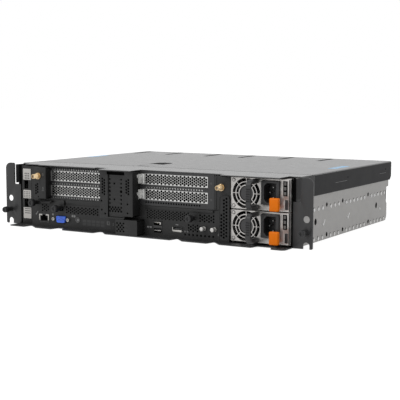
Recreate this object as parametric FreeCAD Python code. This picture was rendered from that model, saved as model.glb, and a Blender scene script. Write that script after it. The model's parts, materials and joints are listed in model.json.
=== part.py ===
import FreeCAD, Part
import math
import os

# A two-unit, short-depth edge server with all its connectors at the front.
# Millimetres. X runs to the viewer's right, the front looks along -Y and Z is up.
# X = 0 is the middle of the rack panel, Y = 0 the front of the rack ears and Z = 0 the underside.

# Rack panel
rack_hole_pitch = 465.1
rack_hole_edge = 8.45
rack_hole_inset = 14.65
ear_height = 87.2
ear_lift = 0.4
ear_sheet = 2.0
ear_lap = 4.4
ear_corner = 8.0
ear_slot_width = 8.6
rack_hole_height = 36.75
rack_notch_top = 8.75
ear_screw_height = 21.0
ear_side_length = 52.0
ear_window_bottom = 57.5
ear_window_width = 11.5
ear_wing_proud = 2.5
ear_wing_foot = 6.0

panel_width = rack_hole_pitch + 2 * rack_hole_edge
half_panel = panel_width / 2
half_hole_pitch = rack_hole_pitch / 2
wall_outer = half_hole_pitch - rack_hole_inset
ear_inner = wall_outer - ear_lap

# Chassis tray
chassis_sheet = 1.2
chassis_rear = 320.0
wall_tab_rear = 325.7
wall_notch_rear = 313.0
wall_corner = 9.0
wall_inner = wall_outer - chassis_sheet

# Cover
cover_top = 87.25
cover_sheet = 1.0
cover_rear = 333.0
cover_flange_bottom = 59.8
cover_rear_flange = 9.0
cover_rear_chamfer = 5.0
cover_front = -3.0
cover_side_front = 11.5
cover_side_notch = 9.5
cover_tab_setback = 8.0
psu_tab_reach = 10.7
centre_tab_reach = 5.0
latch_cup_x = -42.0
latch_cup_width = 25.0
latch_cup_front = 56.0
latch_cup_rear = 121.0
latch_cup_depth = 10.0
latch_cup_bevel = 2.0
latch_cup_end = 7.0
latch_lever_width = 18.0
latch_lever_thickness = 3.0
latch_finger_gap = 16.0
latch_pin_radius = 1.5
latch_pin_drop = 4.2
latch_pin_setback = 7.0
latch_sheet = 1.0

# Gaps between pieces
slip = 0.3
shaft_slip = 0.05

# Front face and the parts that stand proud of it
face_front = -5.0
face_sheet = 1.2
brow_front = -22.0
lip_front = -22.5
lip_sheet = 1.5
lip_notch_depth = 15.0
lip_notch_slope = 3.0
lip_left = -wall_outer + 0.9
lip_right = wall_outer - 3.9
ear_gap = 0.3
lip_notch_widths = (19.0, 18.0, 18.0, 19.0, 19.0, 25.0)
left_notch = -wall_outer + 36.9
middle_notch = -61.5
right_notch = wall_outer - 39.4
right_notch_step = 65.0
lip_notch_centres = (
    left_notch,
    left_notch + 48.0,
    middle_notch,
    (middle_notch + right_notch) / 2,
    right_notch - right_notch_step,
    right_notch,
)

# Supply bay, against the right wall
psu_width = 81.5
psu_side_gap = 5.4
psu_right = wall_outer - psu_side_gap
psu_left = psu_right - psu_width

# Connector panels
column_left = psu_left - 16.5
column_right = psu_left - 2.6
panel_bottom = lip_sheet
panel_top = 40.6
left_panel_right = -35.0
right_panel_left = 0.7
right_panel_right = column_left - slip
socket_fit = 0.25
port_proud = 0.4
left_vent_start = 6.9
left_vent_end = 13.7
left_vent_bottom = 19.5
left_vent_top = 33.0
right_vent_start = 9.3
right_vent_end = 8.1
right_vent_bottom = 23.5
right_vent_top = 33.5

# Label column beside the left ear
label_left = -wall_outer + 5.7
label_right = -wall_outer + 27.1
left_panel_left = label_right + slip
label_top = 84.5
label_bottom = 5.0
label_slot_x = label_left + 7.7
label_slot_width = 7.0
label_slot_tall = 12.0
label_slot_heights = (31.5, 57.5)

# Risers with their slot covers
right_antenna_left = psu_left - 23.9
right_antenna_right = psu_left - 3.8
slot_pitch = 20.32
slot_cover_height = 14.4
slot_cover_sheet = 1.0
slot_lap = 1.6
left_slot_left = -wall_outer + 61.9
left_slot_right = -50.0
left_slot_middle = 62.6
left_cover_tab = 3.0
right_slot_left = -10.0
right_riser_right = right_antenna_left - slip
right_slot_right = right_riser_right - 9.3
right_slot_middle = 65.4
right_cover_tab = 11.0
riser_bottom = 40.9
riser_top = 85.9
left_riser_left = left_slot_left - 1.5
left_riser_right = -35.0
right_riser_left = -12.0

# Venting in close-packed rows
vent_pitch = 4.7
vent_across = 2.8
small_vent_across = 1.9
coarse_vent_pitch = 6.6
coarse_vent_across = 3.2
round_sides = 12
ring_sides = 16
small_round_sides = 8

# Brackets in front of the face
centre_left = -59.3
centre_right = -6.3
centre_bottom = 21.9
centre_leg_right = -20.5
centre_leg_bottom = 26.0
centre_top = 85.9
tray_left = -46.0
tray_right = -21.0
tray_bottom = 24.0
tray_top = 81.0
tray_recess = 1.6
centre_vent_bottom = 55.0
centre_vent_top = 75.0
centre_vent_edge = 1.8
centre_vent_side = 2.4
centre_vent_corner = 3.5
blank_left = -34.0
blank_right = 0.4
blank_top = 21.6
blank_bottom = lip_sheet
blank_vent_inset = 1.0
blank_vent_width = 13.0
blank_vent_bottom = 4.0
blank_vent_top = 19.0
antenna_front = -16.0
antenna_bottom = 41.2
antenna_top = 84.0
antenna_vent_inset = 1.5
antenna_vent_width = 11.0
antenna_vent_bottom = 46.0
antenna_vent_top = 62.0
left_antenna_left = -wall_outer + 42.4
left_antenna_right = -wall_outer + 62.0
right_antenna_front = -8.0
left_sma_x = left_antenna_left + 6.0
left_sma_height = 72.3
right_sma_x = right_antenna_left + 8.9
right_sma_height = 71.6
sma_length = 11.0
sma_hole = 3.3
sma_back = 5.0
column_top = 60.0
column_corner = 4.0
column_front = right_antenna_front - face_sheet

# Connectors and controls
rj45_x = -wall_outer + 48.9
rj45_height = 12.6
rj45_width = 17.2
rj45_tall = 13.2
rj45_depth = 15.0
vga_x = -wall_outer + 80.0
vga_height = 12.4
vga_width = 17.6
vga_tall = 9.8
vga_proud = 5.5
vga_screw_pitch = 25.4
usb_x = right_panel_left + 21.3
usb_height = 13.6
usb_pitch = 9.0
usb_width = 14.6
usb_tall = 16.4
usb_depth = 16.0
display_x = usb_x + 31.2
display_height = 12.4
display_width = 17.4
display_tall = 6.8
display_depth = 14.0
button_x = -wall_outer + 108.5
button_height = 13.4
button_radius = 4.0
stud_first_x = right_panel_right - 22.2
stud_second_x = right_panel_right - 6.2
stud_height = 16.2
stud_length = 12.0

# Thumbscrews
knob_radius = 5.0
knob_length = 7.0
screw_radius = 2.4
ear_knob_radius = 4.3
ear_knob_front = -16.0
ear_screw_rear = 8.0
module_knob_front = -21.5
module_screw_rear = 4.0
module_screws = {
    "thumbscrew_left_outer": (-wall_outer + 38.3, 34.4),
    "thumbscrew_left_inner": (-wall_outer + 79.0, 28.5),
    "thumbscrew_right": (right_panel_right - 37.1, 29.1),
}

# Power supplies
psu_height = 39.5
psu_depth = 185.0
psu_base = 4.0
psu_wall = 1.0
psu_contact_rise = 6.0
psu_contact_inset = 14.0
psu_contact_length = 8.0
psu_stop = 4.0
psu_fan_blades = 5
psu_blade_turn = 35.0
psu_strut = 2.0
guard_spokes = 8
cage_sheet = 1.0
cage_left_sheet = 1.2
psu_fan_x = psu_left + 21.4
psu_fan_opening = 18.6
psu_fan_radius = 17.0
psu_fan_hub = 9.4
psu_fan_depth = 14.0
guard_wire = 1.6
guard_sheet = 1.2
fan_guard_gap = 1.0
guard_inner_ring = 10.5
guard_outer_ring = 14.9
inlet_x = psu_right - 25.7
inlet_width = 24.5
inlet_tall = 29.5
inlet_rise = 2.6
inlet_proud = 3.0
inlet_socket_width = 16.4
inlet_socket_tall = 24.4
inlet_socket_depth = 17.0
inlet_pin_depth = 5.6
handle_x = psu_left + 36.6
handle_width = 7.0
handle_reach = 24.0
handle_thickness = 3.2
release_left = psu_right - 21.7
release_width = 12.4
release_tall = 15.6
release_rise = 1.6
release_front = -20.0
release_depth = 7.0
lamp_left = psu_right - 8.5
lamp_width = 5.2

# System fans
fan_count = 6
fan_side_gap = 17.5
fan_pitch = 2 * (wall_inner - fan_side_gap) / fan_count
fan_module_gap = 2.4
fan_module_width = fan_pitch - fan_module_gap
fan_rim = 3.5
fan_bore = fan_module_width / 2 - fan_rim
fan_depth = 38.0
fan_tip_gap = 1.2
fan_hub_radius = 15.0
fan_blades = 5
fan_blade_turn = 38.0
fan_strut = 3.0
fan_setback = 2.0
fan_centre_height = 43.0
fan_rear = 316.8

# Electronics
board_height = 8.0
board_sheet = 1.6
board_left = -wall_inner + 6.7
board_right = psu_left - 7.0
board_front = 16.0
board_rear = 245.0
heatsink_x = psu_left - 69.0
heatsink_front = 120.0
heatsink_width = 78.0
heatsink_length = 105.0
heatsink_top = 46.0
heatsink_fins = 13
fin_sheet = 1.4
memory_count = 8
memory_pitch = 9.5
memory_x = -70.0
memory_length = 133.0
memory_front = 105.0
memory_tall = 31.0
memory_sheet = 1.6
memory_socket_half = 3.2
memory_socket_tall = 7.0
memory_socket_end = 5.0
riser_card_drop = 5.9
riser_card_length = 88.0

chassis_front = ear_sheet
cover_under = cover_top - cover_sheet
cover_inner = wall_outer + slip
cover_half = cover_inner + cover_sheet
wall_top = cover_under - slip
face_back = face_front + face_sheet
psu_rear = face_front + psu_depth
psu_pitch = psu_height + 2 * slip + cage_sheet
ear_top = ear_lift + ear_height


def vector(x, y, z):
    return FreeCAD.Vector(x, y, z)


def box(x0, x1, y0, y1, z0, z1):
    return Part.makeBox(x1 - x0, y1 - y0, z1 - z0, vector(x0, y0, z0))


def block_at(x, z, width, tall, y0, y1):
    """A box centred on one point of the front."""
    return box(x - width / 2, x + width / 2, y0, y1, z - tall / 2, z + tall / 2)


def fused(pieces):
    return pieces[0].multiFuse(pieces[1:]).removeSplitter()


def without(body, tools):
    return body.cut(Part.makeCompound(tools))


def rounded_wire(corners, radii):
    """A closed wire through the corners, each rounded by its own radius; a radius of 0 keeps it sharp."""
    count = len(corners)
    arcs = []
    for index in range(count):
        corner = corners[index]
        radius = radii[index]
        if radius == 0:
            arcs.append((corner, None, corner))
            continue
        back = (corners[index - 1] - corner).normalize()
        ahead = (corners[(index + 1) % count] - corner).normalize()
        half_angle = back.getAngle(ahead) / 2
        reach = radius / math.tan(half_angle)
        inward = (back + ahead).normalize()
        middle = corner + inward * (radius / math.sin(half_angle) - radius)
        arcs.append((corner + back * reach, middle, corner + ahead * reach))
    edges = []
    for index in range(count):
        start, middle, end = arcs[index]
        if middle is not None:
            edges.append(Part.Arc(start, middle, end).toShape())
        following = arcs[(index + 1) % count][0]
        if end.distanceToPoint(following) > 1e-6:
            edges.append(Part.makeLine(end, following))
    return Part.Wire(Part.__sortEdges__(edges))


def chamfered_wire(corners, reaches):
    """A closed wire through the corners, each cut straight across at its own reach; 0 keeps it sharp."""
    count = len(corners)
    points = []
    for index in range(count):
        corner = corners[index]
        if reaches[index] == 0:
            points.append(corner)
            continue
        back = (corners[index - 1] - corner).normalize()
        ahead = (corners[(index + 1) % count] - corner).normalize()
        points.append(corner + back * reaches[index])
        points.append(corner + ahead * reaches[index])
    return rounded_wire(points, [0] * len(points))


def sheet_between(outer, holes, direction):
    """A flat sheet with holes: wires of one plane, extruded along the direction."""
    face = Part.makeFace([outer] + holes, "Part::FaceMakerBullseye")
    return face.extrude(direction)


def corners_xz(points, y):
    return [vector(x, y, z) for x, z in points]


def rectangle_xz(x0, x1, z0, z1, y, radius=0):
    corners = corners_xz([(x0, z0), (x1, z0), (x1, z1), (x0, z1)], y)
    return rounded_wire(corners, [radius] * 4)


def rectangle_at(x, z, width, tall, y):
    """A rectangle centred on one point of the front."""
    return rectangle_xz(x - width / 2, x + width / 2, z - tall / 2, z + tall / 2, y)


def polygon_xz(x, z, across, y, sides=6, turn=0.0):
    """A regular polygon in the XZ plane; across is the distance over its flats."""
    radius = across / 2 / math.cos(math.pi / sides)
    corners = []
    for index in range(sides):
        angle = turn + 2 * math.pi * index / sides
        corners.append(vector(x + radius * math.cos(angle), y, z + radius * math.sin(angle)))
    return rounded_wire(corners, [0] * sides)


def circle_xz(x, z, radius, y):
    return Part.Wire(Part.makeCircle(radius, vector(x, y, z), vector(0, 1, 0)))


def around_xz(x, z, radius, y, sides=round_sides):
    """A many-sided outline whose flats clear the radius, with a flat square to each axis."""
    return polygon_xz(x, z, 2 * radius, y, sides, math.pi / sides)


def within_xz(x, z, radius, y, sides=round_sides):
    """A many-sided outline whose corners lie on the radius."""
    return polygon_xz(x, z, 2 * radius * math.cos(math.pi / sides), y, sides, math.pi / sides)


def prism_y(wire, length):
    return sheet_between(wire, [], vector(0, length, 0))


def vent_field(x0, x1, z0, z1, pitch, across, y, sides=6):
    """Hexagonal close packing of holes: columns half a pitch apart in height, inside the given field."""
    column_step = pitch * math.sqrt(3) / 2
    columns = int((x1 - x0 - across) // column_step) + 1
    rows = int((z1 - z0 - across) // pitch) + 1
    first_x = (x0 + x1 - (columns - 1) * column_step) / 2
    first_z = (z0 + z1 - (rows - 1) * pitch) / 2
    holes = []
    for column in range(columns):
        shifted = column % 2
        for row in range(rows - shifted):
            x = first_x + column * column_step
            z = first_z + (row + shifted / 2) * pitch
            holes.append(polygon_xz(x, z, across, y, sides))
    return holes


def vent_row(x0, x1, z, pitch, across, y, sides=4):
    count = int((x1 - x0) // pitch) + 1
    first = (x0 + x1 - (count - 1) * pitch) / 2
    return [polygon_xz(first + index * pitch, z, across, y, sides, math.pi / 4) for index in range(count)]


def side_wall(x0, x1):
    """One galvanised wall: stepped rear edge, rounded lower corner and two upright fixing holes."""
    notch_bottom = 25.0
    notch_floor = 33.0
    notch_ceiling = 45.0
    tab_bottom = 50.0
    tab_top = 60.0
    step_rear = chassis_rear - 2 * chassis_sheet
    points = [
        (chassis_front, 0),
        (chassis_rear, 0),
        (chassis_rear, notch_bottom),
        (wall_notch_rear, notch_floor),
        (wall_notch_rear, notch_ceiling),
        (step_rear, notch_ceiling),
        (step_rear, tab_bottom),
        (wall_tab_rear, tab_bottom),
        (wall_tab_rear, tab_top),
        (chassis_rear, tab_top),
        (chassis_rear, wall_top),
        (chassis_front, wall_top),
    ]
    radii = [0, wall_corner] + [0] * 10
    outer = rounded_wire([vector(x0, y, z) for y, z in points], radii)
    oval_stations = (60.4, 276.0)
    oval_height = 26.1
    oval_half_length = 4.0
    oval_half_width = 2.2
    holes = [hexagon_yz(x0, y, oval_height, oval_half_width, oval_half_length) for y in oval_stations]
    return sheet_between(outer, holes, vector(x1 - x0, 0, 0))


def hexagon_yz(x, y, z, half_width, half_height):
    """A six-sided hole, upright, in a wall across X."""
    shoulder = 0.5
    shape = [(0, 1), (1, shoulder), (1, -shoulder), (0, -1), (-1, -shoulder), (-1, shoulder)]
    corners = [vector(x, y + half_width * a, z + half_height * b) for a, b in shape]
    return rounded_wire(corners, [0] * len(shape))


def fan_centre(index):
    return (index - (fan_count - 1) / 2) * fan_pitch


def chassis_base():
    floor = box(-wall_inner, wall_inner, chassis_front, chassis_rear, 0, chassis_sheet)
    left = side_wall(-wall_outer, -wall_inner)
    right = side_wall(wall_inner, wall_outer)
    rear_front = chassis_rear - chassis_sheet
    outer = rectangle_xz(-wall_inner, wall_inner, chassis_sheet, wall_top, rear_front)
    slot_tall = 9.0
    slot_step = 16.0
    slot_inset = 1.0
    slots = []
    for fan in range(fan_count):
        for row in (-1, 0, 1):
            reach = math.sqrt(fan_bore**2 - (row * slot_step) ** 2) - slot_inset
            x = fan_centre(fan)
            z = fan_centre_height + row * slot_step
            slots.append(rectangle_xz(x - reach, x + reach, z - slot_tall / 2, z + slot_tall / 2, rear_front))
    rear = sheet_between(outer, slots, vector(0, chassis_sheet, 0))
    return fused([floor, left, right, rear])


def front_lip():
    """The black shelf along the foot of the front, with sloped notches cut into its edge."""
    inset = ear_inner - ear_gap
    points = [(-inset, chassis_front), (-inset, -ear_gap), (lip_left, -ear_gap), (lip_left, lip_front)]
    for centre, width in zip(lip_notch_centres, lip_notch_widths):
        inner = lip_front + lip_notch_depth
        points.append((centre - width / 2 - lip_notch_slope, lip_front))
        points.append((centre - width / 2, inner))
        points.append((centre + width / 2, inner))
        points.append((centre + width / 2 + lip_notch_slope, lip_front))
    points += [(lip_right, lip_front), (lip_right, -ear_gap), (inset, -ear_gap), (inset, chassis_front)]
    outer = rounded_wire([vector(x, y, 0) for x, y in points], [0] * len(points))
    return sheet_between(outer, [], vector(0, 0, lip_sheet))


def top_cover():
    """A flat lid with front tabs over the brackets and flanges folded down both sides and the rear."""
    antenna_tab = antenna_front + cover_tab_setback
    antenna_tab_right = centre_left - 17.7
    psu_tab = face_front - psu_tab_reach
    psu_tab_inset = 6.0
    centre_tab = brow_front - centre_tab_reach
    tab_lap = 1.5
    corners = [
        (-cover_half, cover_rear),
        (-cover_half, cover_side_front),
        (-ear_inner + cover_side_notch, cover_side_front),
        (-ear_inner + cover_side_notch, cover_front),
        (left_antenna_left, cover_front),
        (left_antenna_left, antenna_tab),
        (antenna_tab_right, antenna_tab),
        (antenna_tab_right, cover_front),
        (centre_left + tab_lap, cover_front),
        (centre_left + tab_lap, centre_tab),
        (centre_right, centre_tab),
        (centre_right, cover_front),
        (right_antenna_right - psu_tab_inset, cover_front),
        (right_antenna_right - psu_tab_inset, psu_tab),
        (ear_inner - cover_side_notch, psu_tab),
        (ear_inner - cover_side_notch, cover_side_front),
        (cover_half, cover_side_front),
        (cover_half, cover_rear),
    ]
    outer = rounded_wire([vector(x, y, cover_under) for x, y in corners], [0] * len(corners))
    lid = sheet_between(outer, [latch_outline(0, cover_under)], vector(0, 0, cover_sheet))
    flange_front = ear_sheet + ear_side_length + slip
    profile = [
        (flange_front, cover_under),
        (flange_front, cover_flange_bottom),
        (cover_rear - cover_rear_chamfer, cover_flange_bottom),
        (cover_rear, cover_flange_bottom + cover_rear_chamfer),
        (cover_rear, cover_under),
    ]
    pieces = [lid]
    for x in (-cover_half, cover_inner):
        flange = rounded_wire([vector(x, y, z) for y, z in profile], [0] * len(profile))
        pieces.append(sheet_between(flange, [], vector(cover_sheet, 0, 0)))
    rear_front = cover_rear - cover_sheet
    rear_bottom = cover_under - cover_rear_flange
    pieces.append(box(-cover_inner, cover_inner, rear_front, cover_rear, rear_bottom, cover_under))
    return fused(pieces)


def latch_pin_place():
    return latch_cup_front + latch_pin_setback, cover_top - latch_pin_drop


def latch_outline(grow, z):
    """The long opening of the latch, its rear end drawn in, larger all round by the given amount."""
    half = latch_cup_width / 2 + grow
    corners = [
        vector(latch_cup_x - half, latch_cup_front - grow, z),
        vector(latch_cup_x + half, latch_cup_front - grow, z),
        vector(latch_cup_x + half, latch_cup_rear + grow, z),
        vector(latch_cup_x - half, latch_cup_rear + grow, z),
    ]
    return chamfered_wire(corners, [latch_cup_bevel, latch_cup_bevel, latch_cup_end, latch_cup_end])


def cover_latch_cup():
    """A pan let into the lid, with two cheeks that hold the lever's pin."""
    flange = 2.0
    bottom = cover_under - latch_cup_depth
    pan = sheet_between(latch_outline(0, bottom), [], vector(0, 0, latch_cup_depth))
    rim = sheet_between(latch_outline(flange, cover_under - latch_sheet), [], vector(0, 0, latch_sheet))
    inner = latch_outline(-latch_sheet, bottom + latch_sheet)
    hollow = sheet_between(inner, [], vector(0, 0, latch_cup_depth))
    pan = fused([pan, rim]).cut(hollow)
    pin_y, pin_z = latch_pin_place()
    cheek_in = latch_lever_width / 2 + slip
    cheek_out = latch_cup_width / 2 - latch_sheet
    cheek_half = 3.2
    cheeks = []
    for side in (-1, 1):
        x0, x1 = sorted((latch_cup_x + side * cheek_in, latch_cup_x + side * cheek_out))
        cheeks.append(box(x0, x1, pin_y - cheek_half, pin_y + cheek_half, bottom + latch_sheet, cover_under))
    pan = fused([pan] + cheeks)
    return pan.cut(latch_rod(latch_pin_radius, 2 * cheek_out))


def latch_rod(radius, length):
    """A rod of twelve flats on the lever's axis, for the pin and for the holes it fits."""
    pin_y, pin_z = latch_pin_place()
    left = latch_cup_x - length / 2
    corners = []
    for index in range(round_sides):
        angle = 2 * math.pi * (index + 0.5) / round_sides
        corners.append(vector(left, pin_y + radius * math.cos(angle), pin_z + radius * math.sin(angle)))
    return sheet_between(rounded_wire(corners, [0] * round_sides), [], vector(length, 0, 0))


def cover_latch_pin():
    return latch_rod(latch_pin_radius, latch_cup_width - 2 * latch_sheet)


def cover_latch_lever():
    """A flat lever flush with the lid, with a barrel round its pin and a finger lip at its free end."""
    pin_y, pin_z = latch_pin_place()
    barrel_wall = 1.5
    below_lid = 0.4
    barrel = latch_pin_radius + barrel_wall
    top = cover_top - below_lid
    end = latch_cup_rear - latch_finger_gap
    lip_drop = 3.0
    lip_thickness = 2.0
    under = top - latch_lever_thickness
    half = latch_lever_width / 2
    profile = [
        (pin_y, top),
        (end, top),
        (end, under - lip_drop),
        (end - lip_thickness, under - lip_drop),
        (end - lip_thickness, under),
        (pin_y, under),
    ]
    wire = rounded_wire([vector(latch_cup_x - half, y, z) for y, z in profile], [0] * len(profile))
    blade = sheet_between(wire, [], vector(latch_lever_width, 0, 0))
    bore_radius = latch_pin_radius / math.cos(math.pi / round_sides) + shaft_slip
    return fused([blade, latch_rod(barrel, latch_lever_width)]).cut(latch_rod(bore_radius, latch_lever_width))


def ear(side):
    """A rack ear: face plate with a round hole and an open notch, cut away where its wing comes through."""
    inner = side * ear_inner
    outer = side * half_panel
    shoulder = side * (ear_inner + ear_window_width)
    points = [
        (inner, ear_lift),
        (outer, ear_lift),
        (outer, ear_top),
        (shoulder, ear_top),
        (shoulder, ear_window_bottom),
        (inner, ear_window_bottom),
    ]
    foot_corner = 2.0
    radii = [0, foot_corner, ear_corner, foot_corner, 0, 0]
    plate_wire = rounded_wire(corners_xz(points, 0), radii)
    hole_x = side * half_hole_pitch
    holes = [circle_xz(hole_x, rack_hole_height, ear_slot_width / 2, 0)]
    holes.append(around_xz(hole_x, ear_screw_height, screw_radius + slip, 0, small_round_sides))
    plate = sheet_between(plate_wire, holes, vector(0, ear_sheet, 0))
    notch_radius = ear_slot_width / 2
    notch_centre = rack_notch_top - notch_radius
    notch = fused(
        [
            prism_y(around_xz(hole_x, notch_centre, notch_radius, 0), ear_sheet),
            box(hole_x - notch_radius, hole_x + notch_radius, 0, ear_sheet, 0, notch_centre),
        ]
    )
    plate = without(plate, [notch])
    x0, x1 = sorted((side * wall_outer, side * cover_half))
    back = ear_sheet + ear_side_length
    wing = box(x0, x1, -ear_wing_proud, back, cover_flange_bottom, wall_top)
    foot_bottom = ear_window_bottom - ear_sheet
    foot = box(x0, x1, 0, ear_wing_foot, foot_bottom, cover_flange_bottom + ear_sheet)
    return fused([plate, wing, foot])


def thumbscrew(x, z, knob_front, radius, rear, seat):
    """A captive screw: a knob with flats to grip, a collar that bears on its panel and a shank behind."""
    collar_step = 0.9
    collar = screw_radius + collar_step
    knob = prism_y(within_xz(x, z, radius, knob_front), knob_length)
    bearing = seat - slip
    waist_front = knob_front + knob_length
    waist = prism_y(within_xz(x, z, collar, waist_front, small_round_sides), bearing - waist_front)
    shank = prism_y(within_xz(x, z, screw_radius, bearing, small_round_sides), rear - bearing)
    return fused([knob, waist, shank])


def io_panel_left():
    outer = rectangle_xz(left_panel_left, left_panel_right, panel_bottom, panel_top, face_front)
    fit = 2 * socket_fit
    holes = [
        rectangle_at(rj45_x, rj45_height, rj45_width + fit, rj45_tall + fit, face_front),
        rectangle_at(vga_x, vga_height, vga_width + fit, vga_tall + fit, face_front),
    ]
    holes.append(around_xz(button_x, button_height, button_radius + slip, face_front))
    screw_hole = screw_radius + slip
    for name in ("thumbscrew_left_outer", "thumbscrew_left_inner"):
        x, z = module_screws[name]
        holes.append(around_xz(x, z, screw_hole, face_front, small_round_sides))
    left = vga_x + left_vent_start
    right = centre_left - left_vent_end
    low = left_vent_bottom
    high = left_vent_top
    holes += vent_field(left, right, low, high, coarse_vent_pitch, coarse_vent_across, face_front, 4)
    return sheet_between(outer, holes, vector(0, face_sheet, 0))


def io_panel_right():
    outer = rectangle_xz(right_panel_left, right_panel_right, panel_bottom, panel_top, face_front)
    holes = []
    places = (
        (usb_x, usb_height, usb_width, usb_tall),
        (display_x, display_height, display_width, display_tall),
    )
    fit = 2 * socket_fit
    for x, z, width, tall in places:
        holes.append(rectangle_at(x, z, width + fit, tall + fit, face_front))
    x, z = module_screws["thumbscrew_right"]
    holes.append(around_xz(x, z, screw_radius + slip, face_front, small_round_sides))
    left = right_panel_left + right_vent_start
    right = x - right_vent_end
    low = right_vent_bottom
    high = right_vent_top
    holes += vent_field(left, right, low, high, coarse_vent_pitch, coarse_vent_across, face_front, 4)
    return sheet_between(outer, holes, vector(0, face_sheet, 0))


def label_column():
    """The narrow strip that carries the bare label plates, folded back to the connector panel."""
    outer = rectangle_xz(label_left, label_right, label_bottom, label_top, 0)
    holes = [rectangle_at(label_slot_x, z, label_slot_width, label_slot_tall, 0) for z in label_slot_heights]
    strip = sheet_between(outer, holes, vector(0, face_sheet, 0))
    return_edge = box(label_right - face_sheet, label_right, face_front, 0, label_bottom, label_top)
    foot = box(label_left, label_right, 0, face_sheet, lip_sheet, label_bottom)
    return fused([strip, return_edge, foot])


def slot_centres(middle):
    return middle - slot_pitch / 2, middle + slot_pitch / 2


def slot_windows(left, right, middle, y):
    """The two openings of one riser, above and below its middle bar."""
    half = slot_cover_height / 2
    return [rectangle_xz(left, right, z - half, z + half, y) for z in slot_centres(middle)]


def riser_frame(left, right, slot_left, slot_right, middle):
    outer = rectangle_xz(left, right, riser_bottom, riser_top, face_front)
    holes = slot_windows(slot_left, slot_right, middle, face_front)
    row_step = 16.0
    row_inset = 4.0
    low = slot_left + row_inset
    high = slot_right - row_inset
    holes += vent_row(low, high, middle, row_step, small_vent_across, face_front)
    return sheet_between(outer, holes, vector(0, face_sheet, 0))


def slot_covers(left, right, middle, tab):
    """Two blanking covers, each a sheet with a plain fixing tab and a close-packed field of vents."""
    front = face_back
    margin = 1.4
    covers = []
    for z in slot_centres(middle):
        half = slot_cover_height / 2 + slot_lap
        outer = rectangle_xz(left - slot_lap, right + slot_lap, z - half, z + half, front)
        low = z - slot_cover_height / 2
        high = z + slot_cover_height / 2
        holes = vent_field(left + tab, right - margin, low, high, vent_pitch, vent_across, front, 4)
        covers.append(sheet_between(outer, holes, vector(0, slot_cover_sheet, 0)))
    return Part.makeCompound(covers)


def channel(left, right, bottom, top, front, back, sheet):
    """A bracket folded into a shallow box, open at the back."""
    outside = box(left, right, front, back, bottom, top)
    inside = box(left + sheet, right - sheet, front + sheet, back, bottom + sheet, top - sheet)
    return outside.cut(inside)


def antenna_bracket(left, right, front, back, sma_x, sma_z, vents):
    body = channel(left, right, antenna_bottom, antenna_top, front, back, face_sheet)
    hole = prism_y(around_xz(sma_x, sma_z, sma_hole, front), face_sheet)
    tools = [hole]
    for wire in vents:
        tools.append(sheet_between(wire, [], vector(0, face_sheet, 0)))
    return without(body, tools)


def antenna_bracket_left():
    left = left_antenna_left + antenna_vent_inset
    right = left + antenna_vent_width
    low = antenna_vent_bottom
    high = antenna_vent_top
    vents = vent_field(left, right, low, high, coarse_vent_pitch, coarse_vent_across, antenna_front, 4)
    place = (left_antenna_left, left_antenna_right, antenna_front, face_front)
    return antenna_bracket(*place, left_sma_x, left_sma_height, vents)


def antenna_bracket_right():
    place = (right_antenna_left, right_antenna_right, right_antenna_front, face_back)
    return antenna_bracket(*place, right_sma_x, right_sma_height, [])


def sma_connector(x, z, face, back):
    """A gold bulkhead jack: hexagonal flange, threaded barrel and the hollow of its centre contact."""
    flange_radius = 4.2
    flange = 2.4
    barrel = 3.1
    bore = 2.3
    bore_depth = 5.0
    hexagon = polygon_xz(x, z, 2 * flange_radius * math.cos(math.pi / 6), face - flange)
    nut = sheet_between(hexagon, [], vector(0, flange, 0))
    front = face - sma_length
    body = prism_y(within_xz(x, z, barrel, front), back - front)
    socket = prism_y(within_xz(x, z, bore, front), bore_depth)
    return fused([nut, body]).cut(socket)


def centre_bracket():
    """The stepped bracket between the risers, with a channel down its middle for the tray plate."""
    points = [
        (centre_left, centre_bottom),
        (centre_leg_right, centre_bottom),
        (centre_leg_right, centre_leg_bottom),
        (centre_right, centre_leg_bottom),
        (centre_right, centre_top),
        (centre_left, centre_top),
    ]
    outer = rounded_wire(corners_xz(points, brow_front), [0] * len(points))
    body = sheet_between(outer, [], vector(0, face_front - brow_front, 0))
    sheet = face_sheet
    hollow_points = [
        (centre_left + sheet, centre_bottom + sheet),
        (centre_leg_right - sheet, centre_bottom + sheet),
        (centre_leg_right - sheet, centre_leg_bottom + sheet),
        (centre_right - sheet, centre_leg_bottom + sheet),
        (centre_right - sheet, centre_top - sheet),
        (centre_left + sheet, centre_top - sheet),
    ]
    tray_seat = tray_recess + 2 * sheet
    hollow = rounded_wire(corners_xz(hollow_points, brow_front + sheet), [0] * len(hollow_points))
    inside = sheet_between(hollow, [], vector(0, face_front - brow_front, 0))
    shell = body.cut(inside)
    seat_rear = brow_front + tray_seat
    seat_bottom = tray_bottom - sheet
    tray_box = box(tray_left - sheet, tray_right + sheet, brow_front, seat_rear, seat_bottom, centre_top)
    recess = box(tray_left, tray_right, brow_front, seat_rear - sheet, tray_bottom, centre_top)
    shell = fused([shell, tray_box]).cut(recess)
    tools = []
    low = centre_vent_bottom
    high = centre_vent_top
    left_field = (centre_left + centre_vent_edge, tray_left - centre_vent_side)
    right_field = (tray_right + centre_vent_side, centre_right - centre_vent_corner)
    for left, right in (left_field, right_field):
        for wire in vent_field(left, right, low, high, coarse_vent_pitch, coarse_vent_across, brow_front, 4):
            tools.append(sheet_between(wire, [], vector(0, sheet, 0)))
    return without(shell, tools)


def centre_tray():
    front = brow_front + tray_recess
    outer = rectangle_xz(tray_left + slip, tray_right - slip, tray_bottom + slip, tray_top, front)
    holes = []
    hole_side = 3.8
    hole_end = 12.0
    for x in (tray_left + hole_side, tray_right - hole_side):
        for z in (tray_bottom + hole_end, tray_top - hole_end):
            holes.append(polygon_xz(x, z, small_vent_across, front, 4, math.pi / 4))
    return sheet_between(outer, holes, vector(0, face_sheet, 0))


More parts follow.
